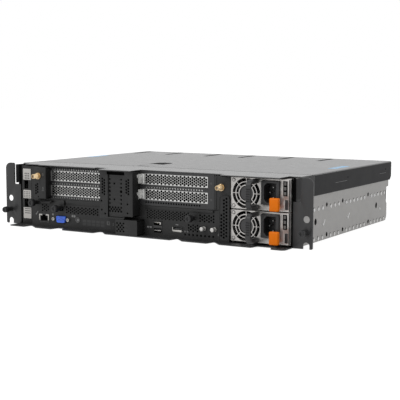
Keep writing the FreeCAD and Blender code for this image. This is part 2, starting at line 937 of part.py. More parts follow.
def lower_blank_box():
    body = channel(blank_left, blank_right, blank_bottom, blank_top, brow_front, face_front, face_sheet)
    tools = []
    left = blank_left + blank_vent_inset
    right = left + blank_vent_width
    low = blank_vent_bottom
    high = blank_vent_top
    for wire in vent_field(left, right, low, high, coarse_vent_pitch, coarse_vent_across, brow_front, 4):
        tools.append(sheet_between(wire, [], vector(0, face_sheet, 0)))
    return without(body, tools)


def vent_column():
    """The perforated column, folded forward of the panels so that its rounded top laps the jack's bracket."""
    points = [
        (column_left, panel_bottom),
        (column_right, panel_bottom),
        (column_right, column_top),
        (column_left, column_top),
    ]
    outer = rounded_wire(corners_xz(points, column_front), [0, 0, column_corner, column_corner])
    side = face_sheet + 0.4
    end = 2.0
    left = column_left + side
    right = column_right - side
    low = panel_bottom + end
    high = column_top - end
    holes = vent_field(left, right, low, high, coarse_vent_pitch, coarse_vent_across, column_front, 4)
    face = sheet_between(outer, holes, vector(0, face_sheet, 0))
    fold_front = column_front + face_sheet
    fold_top = antenna_bottom - slip
    folds = []
    for x in (column_left, column_right - face_sheet):
        folds.append(box(x, x + face_sheet, fold_front, face_back, panel_bottom, fold_top))
    return fused([face] + folds)


def rj45_port():
    """A shielded network jack: the keyed opening runs back to a row of contacts."""
    front = face_front - port_proud
    body = block_at(rj45_x, rj45_height, rj45_width, rj45_tall, front, front + rj45_depth)
    opening_width = 12.0
    opening_tall = 7.2
    key_width = 6.4
    key_tall = 1.8
    floor_rise = 2.2
    floor = rj45_height - rj45_tall / 2 + floor_rise
    ceiling = floor + opening_tall
    depth = 11.0
    opening = block_at(rj45_x, (floor + ceiling) / 2, opening_width, opening_tall, front, front + depth)
    key = block_at(rj45_x, ceiling + key_tall / 2, key_width, key_tall, front, front + depth)
    return without(body, [opening, key])


def tapered_wire(x, z, width, tall, taper, y):
    """The D outline of a display connector, narrower at its foot."""
    half_w = width / 2
    half_t = tall / 2
    points = [
        (x - half_w + taper, z - half_t),
        (x + half_w - taper, z - half_t),
        (x + half_w, z + half_t),
        (x - half_w, z + half_t),
    ]
    return rounded_wire(corners_xz(points, y), [0] * 4)


def vga_port():
    """A D-shaped socket, its shell standing round a flat insert."""
    front = face_front - vga_proud
    taper = 1.2
    rim = 0.8
    back = 8.0
    outer = tapered_wire(vga_x, vga_height, vga_width, vga_tall, taper, front)
    inner = tapered_wire(vga_x, vga_height, vga_width - 2 * rim, vga_tall - 2 * rim, taper, front)
    shell = sheet_between(outer, [], vector(0, vga_proud + back, 0))
    return shell.cut(sheet_between(inner, [], vector(0, rim, 0)))


def vga_screws():
    across = 5.0
    length = 5.0
    screws = []
    for side in (-1, 1):
        x = vga_x + side * vga_screw_pitch / 2
        hexagon = polygon_xz(x, vga_height, across, face_front - length)
        screws.append(sheet_between(hexagon, [], vector(0, length, 0)))
    return Part.makeCompound(screws)


def usb_ports():
    """A stacked pair of sockets in one shield, each with its contact tongue."""
    front = face_front - port_proud
    body = block_at(usb_x, usb_height, usb_width, usb_tall, front, front + usb_depth)
    opening_width = 12.6
    opening_tall = 5.2
    back = front + 12.0
    tongue_tall = 1.8
    tongue_width = 11.0
    tongue_front = front + 1.0
    tongue_rise = (opening_tall - tongue_tall) / 2
    tools = []
    tongues = []
    for side in (-1, 1):
        z = usb_height + side * usb_pitch / 2
        tools.append(block_at(usb_x, z, opening_width, opening_tall, front, back))
        tongues.append(block_at(usb_x, z + tongue_rise, tongue_width, tongue_tall, tongue_front, back))
    return fused([without(body, tools)] + tongues)


def display_port():
    """A flat display socket: one corner of its opening is cut off and a contact tongue runs across it."""
    front = face_front - port_proud
    body = block_at(display_x, display_height, display_width, display_tall, front, front + display_depth)
    wall = 0.9
    corner = 1.6
    left = display_x - display_width / 2 + wall
    right = display_x + display_width / 2 - wall
    low = display_height - display_tall / 2 + wall
    high = display_height + display_tall / 2 - wall
    points = [(left, low), (right - corner, low), (right, low + corner), (right, high), (left, high)]
    outline = rounded_wire(corners_xz(points, front), [0] * 5)
    depth = 10.0
    tongue_width = 13.0
    tongue_sheet = 1.0
    tongue_height = display_height + tongue_sheet / 2
    tongue_front = front + 1.0
    opening = sheet_between(outline, [], vector(0, depth, 0))
    tongue = block_at(display_x, tongue_height, tongue_width, tongue_sheet, tongue_front, front + depth)
    return fused([body.cut(opening), tongue])


def power_button():
    """A sprung cap, with a collar that keeps it behind the panel."""
    proud = 1.6
    collar_step = 1.2
    collar = button_radius + collar_step
    front = face_front - proud
    keeper_front = face_back + slip
    keeper_sheet = 1.2
    cap = prism_y(within_xz(button_x, button_height, button_radius, front), keeper_front - front)
    keeper = prism_y(within_xz(button_x, button_height, collar, keeper_front), keeper_sheet)
    return fused([cap, keeper])


def ground_studs():
    nut_across = 7.0
    nut_length = 3.6
    stud_radius = 2.2
    studs = []
    for x in (stud_first_x, stud_second_x):
        nut = prism_y(polygon_xz(x, stud_height, nut_across, face_front - nut_length), nut_length)
        stud_front = face_front - stud_length
        stud = prism_y(within_xz(x, stud_height, stud_radius, stud_front, small_round_sides), stud_length)
        studs.append(fused([nut, stud]))
    return Part.makeCompound(studs)


def psu_bottom(index):
    return psu_base + index * psu_pitch


def inlet_bottom(index):
    return psu_bottom(index) + psu_height - inlet_rise - inlet_tall


def psu_cage():
    """The sheet-metal bay of the two supplies: two walls, a raised floor and the shelf between them."""
    front = ear_sheet + slip
    rear = psu_rear + psu_stop
    floor_top = psu_base - slip
    left_inner = psu_left - slip
    right_inner = psu_right + slip
    top = psu_bottom(1) + psu_height
    foot_width = 6.0
    shelf_bottom = psu_bottom(0) + psu_height + slip
    pieces = [
        box(left_inner - cage_left_sheet, left_inner, front, rear, chassis_sheet, top),
        box(right_inner, right_inner + cage_sheet, front, rear, chassis_sheet, top),
        box(left_inner, right_inner, front, rear, floor_top - cage_sheet, floor_top),
        box(left_inner, right_inner, front, rear, shelf_bottom, shelf_bottom + cage_sheet),
    ]
    cage = fused(pieces)
    window_side = 10.0
    window_front = rear - 120.0
    window_rear = rear - 30.0
    window_left = left_inner + window_side
    window_right = right_inner - window_side
    window_low = floor_top - cage_sheet
    window_high = shelf_bottom + cage_sheet
    window = box(window_left, window_right, window_front, window_rear, window_low, window_high)
    flange = box(
        left_inner - cage_left_sheet - foot_width, left_inner - cage_left_sheet, front, rear, chassis_sheet,
        chassis_sheet + cage_sheet,
    )
    return fused([cage.cut(window), flange])


def psu_case(index):
    """A supply's folded case, with openings for fan, inlet and lamps, the fan's strut and rear vents."""
    bottom = psu_bottom(index)
    top = bottom + psu_height
    rear = psu_rear
    wall = psu_wall
    outside = box(psu_left, psu_right, face_front, rear, bottom, top)
    inside = box(psu_left + wall, psu_right - wall, face_front + wall, rear - wall, bottom + wall, top - wall)
    body = outside.cut(inside)
    middle = bottom + psu_height / 2
    fan_hole = prism_y(around_xz(psu_fan_x, middle, psu_fan_opening, face_front, ring_sides), wall)
    inlet_low = inlet_bottom(index) - socket_fit
    inlet_high = inlet_low + inlet_tall + 2 * socket_fit
    half = inlet_width / 2 + socket_fit
    inlet_hole = box(inlet_x - half, inlet_x + half, face_front, face_front + wall, inlet_low, inlet_high)
    slot_left = lamp_left + 1.6
    slot_width = 3.0
    slot_low = bottom + 3.4
    slot_high = bottom + 15.0
    slot = box(slot_left, slot_left + slot_width, face_front, face_front + wall, slot_low, slot_high)
    tools = [fan_hole, inlet_hole, slot]
    vent_count = 3
    vent_inset = 8.0
    vent_width = 18.0
    vent_step = (psu_width - 2 * vent_inset - vent_width) / (vent_count - 1)
    vent_low = bottom + psu_contact_rise + vent_inset
    vent_high = top - psu_contact_rise
    for number in range(vent_count):
        x = psu_left + vent_inset + number * vent_step
        tools.append(box(x, x + vent_width, rear - wall, rear, vent_low, vent_high))
    body = without(body, tools)
    lamp_proud = 0.6
    lamp_low = bottom + 20.0
    lamp_high = top - 1.6
    lamps = box(lamp_left, lamp_left + lamp_width, face_front - lamp_proud, face_front, lamp_low, lamp_high)
    edge_left = psu_left + psu_contact_inset
    edge_right = psu_right - psu_contact_inset
    edge_low = bottom + psu_contact_rise
    edge = box(edge_left, edge_right, rear, rear + psu_contact_length, edge_low, edge_low + board_sheet)
    half = psu_strut
    strut_front = psu_fan_front() + psu_fan_depth + slip
    strut = box(
        psu_fan_x - half, psu_fan_x + half, strut_front, strut_front + psu_strut, bottom + wall, top - wall
    )
    return fused([body, lamps, edge, strut])


def psu_guard(index):
    """Ring-and-spoke finger guard over the fan."""
    middle = psu_bottom(index) + psu_height / 2
    rings = []
    for radius in (guard_inner_ring, guard_outer_ring):
        outer = around_xz(psu_fan_x, middle, radius + guard_wire / 2, face_front, ring_sides)
        inner = around_xz(psu_fan_x, middle, radius - guard_wire / 2, face_front, ring_sides)
        rings.append(sheet_between(outer, [inner], vector(0, guard_sheet, 0)))
    reach = psu_fan_opening - guard_inner_ring
    spoke_x = psu_fan_x + (guard_inner_ring + psu_fan_opening) / 2
    spoke = block_at(spoke_x, middle, reach, guard_wire, face_front, face_front + guard_sheet)
    spokes = []
    for number in range(guard_spokes):
        turned = spoke.copy()
        turned.rotate(vector(psu_fan_x, 0, middle), vector(0, 1, 0), number * 360 / guard_spokes)
        spokes.append(turned)
    return fused(rings + spokes)


def rotor(x, z, front, depth, hub_radius, tip_radius, blades, twist):
    """A fan rotor: a closed hub with blades set at an angle round it."""
    hub = prism_y(within_xz(x, z, hub_radius, front), depth)
    blade_sheet = 1.4
    root_share = 0.8
    chord_share = 0.8
    root = hub_radius * root_share
    chord = depth * chord_share
    middle = front + depth / 2
    tip = math.sqrt(tip_radius**2 - (chord / 2) ** 2)
    blade = block_at(x + (root + tip) / 2, z, tip - root, blade_sheet, middle - chord / 2, middle + chord / 2)
    blade.rotate(vector(x, middle, z), vector(1, 0, 0), twist)
    pieces = [hub]
    for number in range(blades):
        turned = blade.copy()
        turned.rotate(vector(x, 0, z), vector(0, 1, 0), number * 360 / blades)
        pieces.append(turned)
    return fused(pieces)


def psu_fan_front():
    return face_front + guard_sheet + fan_guard_gap


def psu_rotor(index):
    middle = psu_bottom(index) + psu_height / 2
    front = psu_fan_front()
    return rotor(
        psu_fan_x, middle, front, psu_fan_depth, psu_fan_hub, psu_fan_radius, psu_fan_blades, psu_blade_turn
    )


def psu_handle(index):
    """A strap bent into a grip in front of the fan, its two feet fixed to the face."""
    inset = 0.8
    bottom = psu_bottom(index) + inset
    top = psu_bottom(index) + psu_height - inset
    front = face_front - handle_reach
    left = handle_x - handle_width / 2
    bend = 5.0
    outer_points = [(face_front, bottom), (front, bottom), (front, top), (face_front, top)]
    outer = chamfered_wire([vector(left, y, z) for y, z in outer_points], [0, bend, bend, 0])
    inner_points = [
        (face_front, bottom + handle_thickness),
        (front + handle_thickness, bottom + handle_thickness),
        (front + handle_thickness, top - handle_thickness),
        (face_front, top - handle_thickness),
    ]
    inner_bend = bend - handle_thickness
    inner = chamfered_wire([vector(left, y, z) for y, z in inner_points], [0, inner_bend, inner_bend, 0])
    grip = sheet_between(outer, [], vector(handle_width, 0, 0))
    return grip.cut(sheet_between(inner, [], vector(handle_width, 0, 0)))


def inlet_outline(x, z, width, tall, cut, y):
    """An inlet's opening set on end, its two corners chamfered on the left."""
    half_w = width / 2
    half_t = tall / 2
    points = [
        (x - half_w + cut, z - half_t),
        (x + half_w, z - half_t),
        (x + half_w, z + half_t),
        (x - half_w + cut, z + half_t),
        (x - half_w, z + half_t - cut),
        (x - half_w, z - half_t + cut),
    ]
    return rounded_wire(corners_xz(points, y), [0] * len(points))


def psu_inlet(index):
    """The mains inlet: a block with a keyed socket and three flat pins."""
    bottom = inlet_bottom(index)
    middle = bottom + inlet_tall / 2
    front = face_front - inlet_proud
    back_wall = 3.0
    rear = front + inlet_socket_depth + back_wall
    body = block_at(inlet_x, middle, inlet_width, inlet_tall, front, rear)
    corner_cut = 4.0
    outline = inlet_outline(inlet_x, middle, inlet_socket_width, inlet_socket_tall, corner_cut, front)
    socket = sheet_between(outline, [], vector(0, inlet_socket_depth, 0))
    pieces = [body.cut(socket)]
    pin_front = front + inlet_pin_depth
    pin_rear = front + inlet_socket_depth
    pin_wide = 4.0
    pin_thin = 2.0
    offset = 2.0
    spread = 7.0
    for dx, dz in ((-offset, 0.0), (offset, spread), (offset, -spread)):
        pieces.append(block_at(inlet_x + dx, middle + dz, pin_wide, pin_thin, pin_front, pin_rear))
    return fused(pieces)


def psu_release(index):
    """The orange release: a thumb pad on a tongue that slides sideways across the face."""
    bottom = psu_bottom(index) + release_rise
    top = bottom + release_tall
    right = release_left + release_width
    bevel = 1.5
    corners = [
        vector(release_left, release_front, bottom),
        vector(right, release_front, bottom),
        vector(right, release_front + release_depth, bottom),
        vector(release_left, release_front + release_depth, bottom),
    ]
    pad = sheet_between(chamfered_wire(corners, [bevel, bevel, 0, 0]), [], vector(0, 0, top - bottom))
    tongue_width = 5.0
    tongue_inset = 1.0
    tongue_low = bottom + tongue_inset
    tongue_high = inlet_bottom(index) - slip
    tongue_front = release_front + release_depth / 2
    tongue = box(right - tongue_width, right, tongue_front, face_front - slip, tongue_low, tongue_high)
    return fused([pad, tongue])


def fan_frames():
    """Six fan modules in a row, each a shroud with a round bore and a strut that carries the motor."""
    half = fan_module_width / 2
    front = fan_rear - fan_depth
    bar_seat = 1.0
    frames = []
    for index in range(fan_count):
        x = fan_centre(index)
        z = fan_centre_height
        outer = rectangle_xz(x - half, x + half, chassis_sheet, wall_top - slip, front)
        bore = around_xz(x, z, fan_bore, front, round_sides)
        frame = sheet_between(outer, [bore], vector(0, fan_depth, 0))
        reach = fan_bore + bar_seat
        bar = box(x - fan_strut / 2, x + fan_strut / 2, fan_rear - fan_strut, fan_rear, z - reach, z + reach)
        frames.append(fused([frame, bar]))
    return Part.makeCompound(frames)


def system_rotor(index):
    front = fan_rear - fan_depth + fan_setback
    depth = fan_depth - fan_setback - fan_strut - slip
    tip = fan_bore - fan_tip_gap
    place = (fan_centre(index), fan_centre_height, front, depth)
    return rotor(*place, fan_hub_radius, tip, fan_blades, fan_blade_turn)


def system_board():
    """The main board on its standoffs."""
    board = box(board_left, board_right, board_front, board_rear, board_height, board_height + board_sheet)
    post_across = 6.0
    margin = 12.0
    posts = []
    for x in (board_left + margin, (board_left + board_right) / 2, board_right - margin):
        for y in (board_front + margin, board_rear - margin):
            posts.append(
                box(
                    x - post_across / 2, x + post_across / 2, y - post_across / 2, y + post_across / 2,
                    chassis_sheet, board_height,
                )
            )
    return fused([board] + posts)


def cpu_heatsink():
    """A finned block on the processor, its fins in line with the air."""
    base = 6.0
    low = board_height + board_sheet
    left = heatsink_x - heatsink_width / 2
    rear = heatsink_front + heatsink_length
    step = (heatsink_width - fin_sheet) / (heatsink_fins - 1)
    points = [(left, low), (left + heatsink_width, low)]
    for index in reversed(range(heatsink_fins)):
        x = left + index * step
        points.append((x + fin_sheet, heatsink_top))
        points.append((x, heatsink_top))
        if index > 0:
            points.append((x, low + base))
            points.append((x - step + fin_sheet, low + base))
    wire = rounded_wire(corners_xz(points, heatsink_front), [0] * len(points))
    return sheet_between(wire, [], vector(0, rear - heatsink_front, 0))


def memory_modules():
    low = board_height + board_sheet
    seat = low + memory_socket_tall
    rear = memory_front + memory_length
    socket_front = memory_front - memory_socket_end
    socket_rear = rear + memory_socket_end
    modules = []
    for index in range(memory_count):
        x = memory_x + (index - (memory_count - 1) / 2) * memory_pitch
        half = memory_socket_half
        socket = box(x - half, x + half, socket_front, socket_rear, low, seat)
        half = memory_sheet / 2
        card = box(x - half, x + half, memory_front, rear, seat, seat + memory_tall)
        modules.append(fused([socket, card]))
    return Part.makeCompound(modules)


def riser_cards():
    """Two upright boards behind the slot covers, each with two card sockets facing the slots."""
    low = board_height + board_sheet
    top = riser_top - riser_card_drop
    front = board_front + slip
    socket_front = front + 4.0
    socket_rear = front + 76.0
    socket_half = 3.5
    socket_reach = 9.0
    slot_offset = 6.0
    risers = []
    places = (
        (left_slot_left - slot_offset, 1, left_slot_middle),
        (right_slot_right + slot_offset, -1, right_slot_middle),
    )
    for x, side, middle in places:
        x0, x1 = sorted((x, x - side * board_sheet))
        upright = box(x0, x1, front, front + riser_card_length, low, top)
        sockets = []
        for z in slot_centres(middle):
            s0, s1 = sorted((x, x + side * socket_reach))
            sockets.append(box(s0, s1, socket_front, socket_rear, z - socket_half, z + socket_half))
        risers.append(fused([upright] + sockets))
    return Part.makeCompound(risers)


def power_board():
    """The upright board that the supplies plug into, with one slotted socket for each."""
    front = psu_rear + psu_stop + slip
    edge_inset = 2.0
    socket_wall = 2.5
    socket_end = 4.0
    fit = 0.5
    board_face = front + psu_contact_length - psu_stop + 2 * fit
    board_back = board_face + board_sheet
    top = psu_bottom(1) + psu_height
    low = chassis_sheet
    pieces = [box(psu_left + edge_inset, psu_right - edge_inset, board_face, board_back, low, top)]
    tools = []
    left = psu_left + psu_contact_inset - fit
    right = psu_right - psu_contact_inset + fit
    block_left = left - socket_end
    block_right = right + socket_end
    for index in range(2):
        low = psu_bottom(index) + psu_contact_rise - fit
        high = low + board_sheet + 2 * fit
        pieces.append(box(block_left, block_right, front, board_face, low - socket_wall, high + socket_wall))
        tools.append(box(left, right, front, board_face - fit, low, high))
    return without(fused(pieces), tools)


def all_parts():
    parts = {
        "chassis_base": chassis_base(),
        "front_lip": front_lip(),
        "top_cover": top_cover(),
        "cover_latch_cup": cover_latch_cup(),
        "cover_latch_pin": cover_latch_pin(),
        "cover_latch_lever": cover_latch_lever(),
        "ear_left": ear(-1),
        "ear_right": ear(1),
        "io_panel_left": io_panel_left(),
        "io_panel_right": io_panel_right(),
        "label_column": label_column(),
        "riser_frame_left": riser_frame(
            left_riser_left, left_riser_right, left_slot_left, left_slot_right, left_slot_middle
        ),
        "riser_frame_right": riser_frame(
            right_riser_left, right_riser_right, right_slot_left, right_slot_right, right_slot_middle
        ),
        "slot_covers_left": slot_covers(
            left_slot_left, left_slot_right, left_slot_middle, left_cover_tab
        ),
        "slot_covers_right": slot_covers(
            right_slot_left, right_slot_right, right_slot_middle, right_cover_tab
        ),
        "antenna_bracket_left": antenna_bracket_left(),
        "antenna_bracket_right": antenna_bracket_right(),
        "sma_left": sma_connector(left_sma_x, left_sma_height, antenna_front, antenna_front + sma_back),
        "sma_right": sma_connector(right_sma_x, right_sma_height, right_antenna_front, chassis_front),
        "centre_bracket": centre_bracket(),
        "centre_tray": centre_tray(),
        "lower_blank_box": lower_blank_box(),
        "vent_column": vent_column(),
        "rj45_port": rj45_port(),
        "vga_port": vga_port(),
        "vga_screws": vga_screws(),
        "usb_ports": usb_ports(),
        "display_port": display_port(),
        "power_button": power_button(),
        "ground_studs": ground_studs(),
        "psu_cage": psu_cage(),
        "fan_frames": fan_frames(),
        "system_board": system_board(),
        "cpu_heatsink": cpu_heatsink(),
        "memory_modules": memory_modules(),
        "riser_cards": riser_cards(),
        "power_board": power_board(),
    }
    for name, side in (("ear_thumbscrew_left", -1), ("ear_thumbscrew_right", 1)):
        x = side * half_hole_pitch
        parts[name] = thumbscrew(x, ear_screw_height, ear_knob_front, ear_knob_radius, ear_screw_rear, 0.0)
    for name, (x, z) in module_screws.items():
        parts[name] = thumbscrew(x, z, module_knob_front, knob_radius, module_screw_rear, face_front)
    for index in range(2):
        number = index + 1
        parts[f"psu_{number}_case"] = psu_case(index)
        parts[f"psu_{number}_guard"] = psu_guard(index)
        parts[f"psu_{number}_rotor"] = psu_rotor(index)
        parts[f"psu_{number}_handle"] = psu_handle(index)
        parts[f"psu_{number}_inlet"] = psu_inlet(index)
        parts[f"psu_{number}_release"] = psu_release(index)
    for index in range(fan_count):
        parts[f"fan_rotor_{index + 1}"] = system_rotor(index)
    return parts


os.makedirs("parts", exist_ok=True)
for name, shape in all_parts().items():
    shape.exportStep(f"parts/{name}.step")
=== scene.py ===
import json
import math

import bmesh
import bpy
from mathutils import Matrix, Vector


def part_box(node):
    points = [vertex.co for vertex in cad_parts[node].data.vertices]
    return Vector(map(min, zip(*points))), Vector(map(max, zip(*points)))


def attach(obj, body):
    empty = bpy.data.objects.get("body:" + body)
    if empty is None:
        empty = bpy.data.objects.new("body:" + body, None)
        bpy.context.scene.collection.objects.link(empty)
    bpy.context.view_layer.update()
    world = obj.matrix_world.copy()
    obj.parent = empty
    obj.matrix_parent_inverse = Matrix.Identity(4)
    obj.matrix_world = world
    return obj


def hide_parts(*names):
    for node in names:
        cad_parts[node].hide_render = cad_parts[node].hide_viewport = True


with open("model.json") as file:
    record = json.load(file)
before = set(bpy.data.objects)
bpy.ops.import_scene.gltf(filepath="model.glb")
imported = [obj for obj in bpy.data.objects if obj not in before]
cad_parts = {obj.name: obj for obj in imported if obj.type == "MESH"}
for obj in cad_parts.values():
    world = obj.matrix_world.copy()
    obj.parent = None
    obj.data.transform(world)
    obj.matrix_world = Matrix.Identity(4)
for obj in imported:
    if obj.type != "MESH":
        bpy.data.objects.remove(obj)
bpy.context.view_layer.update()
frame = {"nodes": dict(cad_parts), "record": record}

# Looks of a two-unit edge server. Sizes and places are in millimetres and become metres in build().
# X runs to the viewer's right, the front looks along -Y and Z is up.
MM = 0.001
SHARP_ANGLE = 35


def node_box(name):
    low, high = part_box(name)
    return [value / MM for value in low], [value / MM for value in high]


# Outlines


def rounded(corners, steps=6):
    """A closed outline from corners (a, b) or (a, b, radius), with an arc at each that has a radius."""
    points = []
    count = len(corners)
    for index, corner in enumerate(corners):
        here = Vector(corner[:2])
        radius = corner[2] if len(corner) > 2 else 0
        if radius <= 0:
            points.append(tuple(here))
            continue
        back = (Vector(corners[index - 1][:2]) - here).normalized()
        ahead = (Vector(corners[(index + 1) % count][:2]) - here).normalized()
        half = back.angle(ahead) / 2
        start = here + back * (radius / math.tan(half))
        centre = here + (back + ahead).normalized() * (radius / math.sin(half))
        sweep = math.pi - 2 * half
        turn = 1 if back.x * ahead.y - back.y * ahead.x < 0 else -1
        first = start - centre
        for step in range(steps + 1):
            angle = turn * sweep * step / steps
            cos, sin = math.cos(angle), math.sin(angle)
            points.append((centre.x + first.x * cos - first.y * sin, centre.y + first.x * sin + first.y * cos))
    return points


def rectangle(a0, a1, b0, b1, radius=0.0, steps=4):
    return rounded([(a0, b0, radius), (a1, b0, radius), (a1, b1, radius), (a0, b1, radius)], steps)


def polar(a, b, radius, angle):
    return a + radius * math.cos(angle), b + radius * math.sin(angle)


def ring(a, b, radius, sides, turn=0.0):
    return [polar(a, b, radius, turn + 2 * math.pi * index / sides) for index in range(sides)]


def hexagon(a, b, across, turn=0.0):
    return ring(a, b, across / math.sqrt(3), 6, turn)


def ellipse(a, b, half_a, half_b, sides=20):
    angles = [2 * math.pi * index / sides for index in range(sides)]
    return [(a + half_a * math.cos(angle), b + half_b * math.sin(angle)) for angle in angles]


def packed(a0, a1, b0, b1, pitch, across):
    """Centres of close-packed holes inside a field: columns half a pitch apart in height."""
    step = pitch * math.sqrt(3) / 2
    columns = int((a1 - a0 - across) // step) + 1
    rows = int((b1 - b0 - across) // pitch) + 1
    first_a = (a0 + a1 - (columns - 1) * step) / 2
    first_b = (b0 + b1 - (rows - 1) * pitch) / 2
    centres = []
    for column in range(columns):
        shifted = column % 2
        for row in range(rows - shifted):
            centres.append((first_a + column * step, first_b + (row + shifted / 2) * pitch))
    return centres


def honeycomb(a0, a1, b0, b1, pitch, across):
    return [hexagon(a, b, across) for a, b in packed(a0, a1, b0, b1, pitch, across)]


def dots(a0, a1, b0, b1, pitch=3.8, across=2.7):
    return [ring(a, b, across / 2, 10) for a, b in packed(a0, a1, b0, b1, pitch, across)]


def brick_dots(a0, b0, step_a, step_b, columns, rows, across):
    """Rows of dots, every second row half a step along."""
    outlines = []
    for row in range(rows):
        shifted = row % 2
        for column in range(columns - shifted):
            a = a0 + (column + shifted / 2) * step_a
            outlines.append(ring(a, b0 + row * step_b, across / 2, 10))
    return outlines


# Meshes

PLANES = {
    "xz": Matrix(((1, 0, 0), (0, 0, -1), (0, 1, 0))),
    "yz": Matrix(((0, 0, 1), (1, 0, 0), (0, 1, 0))),
    "xy": Matrix.Identity(3),
}


def area_sign(outline):
    total = 0.0
    for index, (a, b) in enumerate(outline):
        c, d = outline[index - 1]
        total += c * b - a * d
    return total


def plate(outer, holes, at, thickness, bevel=0.0, plane="xz"):
    """A flat piece with holes: outlines on a plane, from `at` on its normal axis, that thick towards plus."""
    curve = bpy.data.curves.new("outline", "CURVE")
    curve.dimensions = "2D"
    curve.fill_mode = "BOTH"
    curve.extrude = thickness / 2 - bevel
    curve.bevel_depth = bevel
    curve.bevel_resolution = 1
    curve.offset = -bevel
    for index, outline in enumerate([outer] + list(holes)):
        wants_positive = index == 0
        if (area_sign(outline) > 0) != wants_positive:
            outline = outline[::-1]
        spline = curve.splines.new("POLY")
        spline.points.add(len(outline) - 1)
        for point, (a, b) in zip(spline.points, outline):
            point.co = (a, b, 0, 1)
        spline.use_cyclic_u = True
    holder = bpy.data.objects.new("outline", curve)
    mesh = bpy.data.meshes.new_from_object(holder)
    bpy.data.objects.remove(holder)
    bpy.data.curves.remove(curve)
    middle = at + thickness / 2
    shift = Vector((0, 0, -middle if plane == "xz" else middle))
    mesh.transform(PLANES[plane].to_4x4() @ Matrix.Translation(shift))
    return mesh


def side_plate(outer, holes, at, thickness, bevel=0.0):
    return plate(outer, holes, at, thickness, bevel, "yz")


def flat_plate(outer, holes, at, thickness, bevel=0.0):
    return plate(outer, holes, at, thickness, bevel, "xy")


def block(low, high, bevel=0.3, segments=2):
    """A box with softened edges."""
    bm = bmesh.new()
    bmesh.ops.create_cube(bm, size=1)
    size = [high[axis] - low[axis] for axis in range(3)]
    centre = [(high[axis] + low[axis]) / 2 for axis in range(3)]
    bmesh.ops.scale(bm, vec=size, verts=bm.verts)
    bmesh.ops.translate(bm, vec=centre, verts=bm.verts)
    if bevel > 0:
        width = min(bevel, min(size) * 0.45)
        bmesh.ops.bevel(bm, geom=bm.edges[:], offset=width, segments=segments, affect="EDGES", profile=0.5)
    return finished(bm)


def blocks(*rows):
    """Several such boxes: each row is (x0, x1, y0, y1, z0, z1) and, where it isn't 0.3, the softening."""
    return [block(row[0:6:2], row[1:6:2], *row[6:]) for row in rows]


def lathe(x, z, profile, sides):
    """A turned form about an axis along Y: profile is (y, radius) from one end to the other."""
    bm = bmesh.new()
    rings = []
    for y, radius in profile:
        if radius <= 0:
            rings.append([bm.verts.new((x, y, z))])
            continue
        rings.append([bm.verts.new((a, y, b)) for a, b in ring(x, z, radius, sides)])
    for first, second in zip(rings, rings[1:]):
        for index in range(sides):
            following = (index + 1) % sides
            corners = [first[index % len(first)], second[index % len(second)]]
            corners += [second[following % len(second)], first[following % len(first)]]
            unique = list(dict.fromkeys(corners))
            if len(unique) > 2:
                bm.faces.new(unique)
    for end in (rings[0], rings[-1]):
        if len(end) > 2:
            bm.faces.new(end)
    return finished(bm)


def finished(bm):
    bmesh.ops.recalc_face_normals(bm, faces=bm.faces)
    mesh = bpy.data.meshes.new("mesh")
    bm.to_mesh(mesh)
    bm.free()
    return mesh


def softened(name, width, segments=2):
    """A copy of a CAD node's mesh, in millimetres, with its sharp edges rounded."""
    bm = bmesh.new()
    bm.from_mesh(frame["nodes"][name].data)
    bmesh.ops.scale(bm, vec=(1 / MM, 1 / MM, 1 / MM), verts=bm.verts)
    bmesh.ops.remove_doubles(bm, verts=bm.verts, dist=0.001)
    bmesh.ops.dissolve_limit(bm, angle_limit=math.radians(2), verts=bm.verts, edges=bm.edges)
    sharp = [edge for edge in bm.edges if len(edge.link_faces) == 2]
    sharp = [edge for edge in sharp if edge.calc_face_angle(0) > math.radians(30)]
    bmesh.ops.bevel(bm, geom=sharp, offset=width, segments=segments, affect="EDGES", profile=0.5, clamp_overlap=True)
    return finished(bm)


def turned(mesh, angle, centre):
    middle = Vector(centre)
    spin = Matrix.Rotation(math.radians(angle), 4, "Y")
    mesh.transform(Matrix.Translation(middle) @ spin @ Matrix.Translation(-middle))
    return mesh


def build(name, meshes, material, slot, *nodes, body="root"):
    """One piece of the scene: meshes in millimetres, joined, finished and given to a body."""
    if isinstance(meshes, bpy.types.Mesh):
        meshes = [meshes]
    bm = bmesh.new()
    for mesh in meshes:
        bm.from_mesh(mesh)
        bpy.data.meshes.remove(mesh)
    bmesh.ops.remove_doubles(bm, verts=bm.verts, dist=0.0005)
    bmesh.ops.recalc_face_normals(bm, faces=bm.faces)
    bmesh.ops.scale(bm, vec=(MM, MM, MM), verts=bm.verts)
    joined = bpy.data.meshes.new(name)
    bm.to_mesh(joined)
    bm.free()
    joined.shade_smooth()
    joined.set_sharp_from_angle(angle=math.radians(SHARP_ANGLE))
    joined.materials.append(material)
    piece = bpy.data.objects.new(name, joined)
    bpy.context.scene.collection.objects.link(piece)
    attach(piece, body)
    if nodes:
        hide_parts(*nodes)


def painted(name, meshes, material, *nodes, body="root"):
    build(name, meshes, material, "black_paint", *nodes, body=body)


# Materials

EVEN = (1, 1, 1)


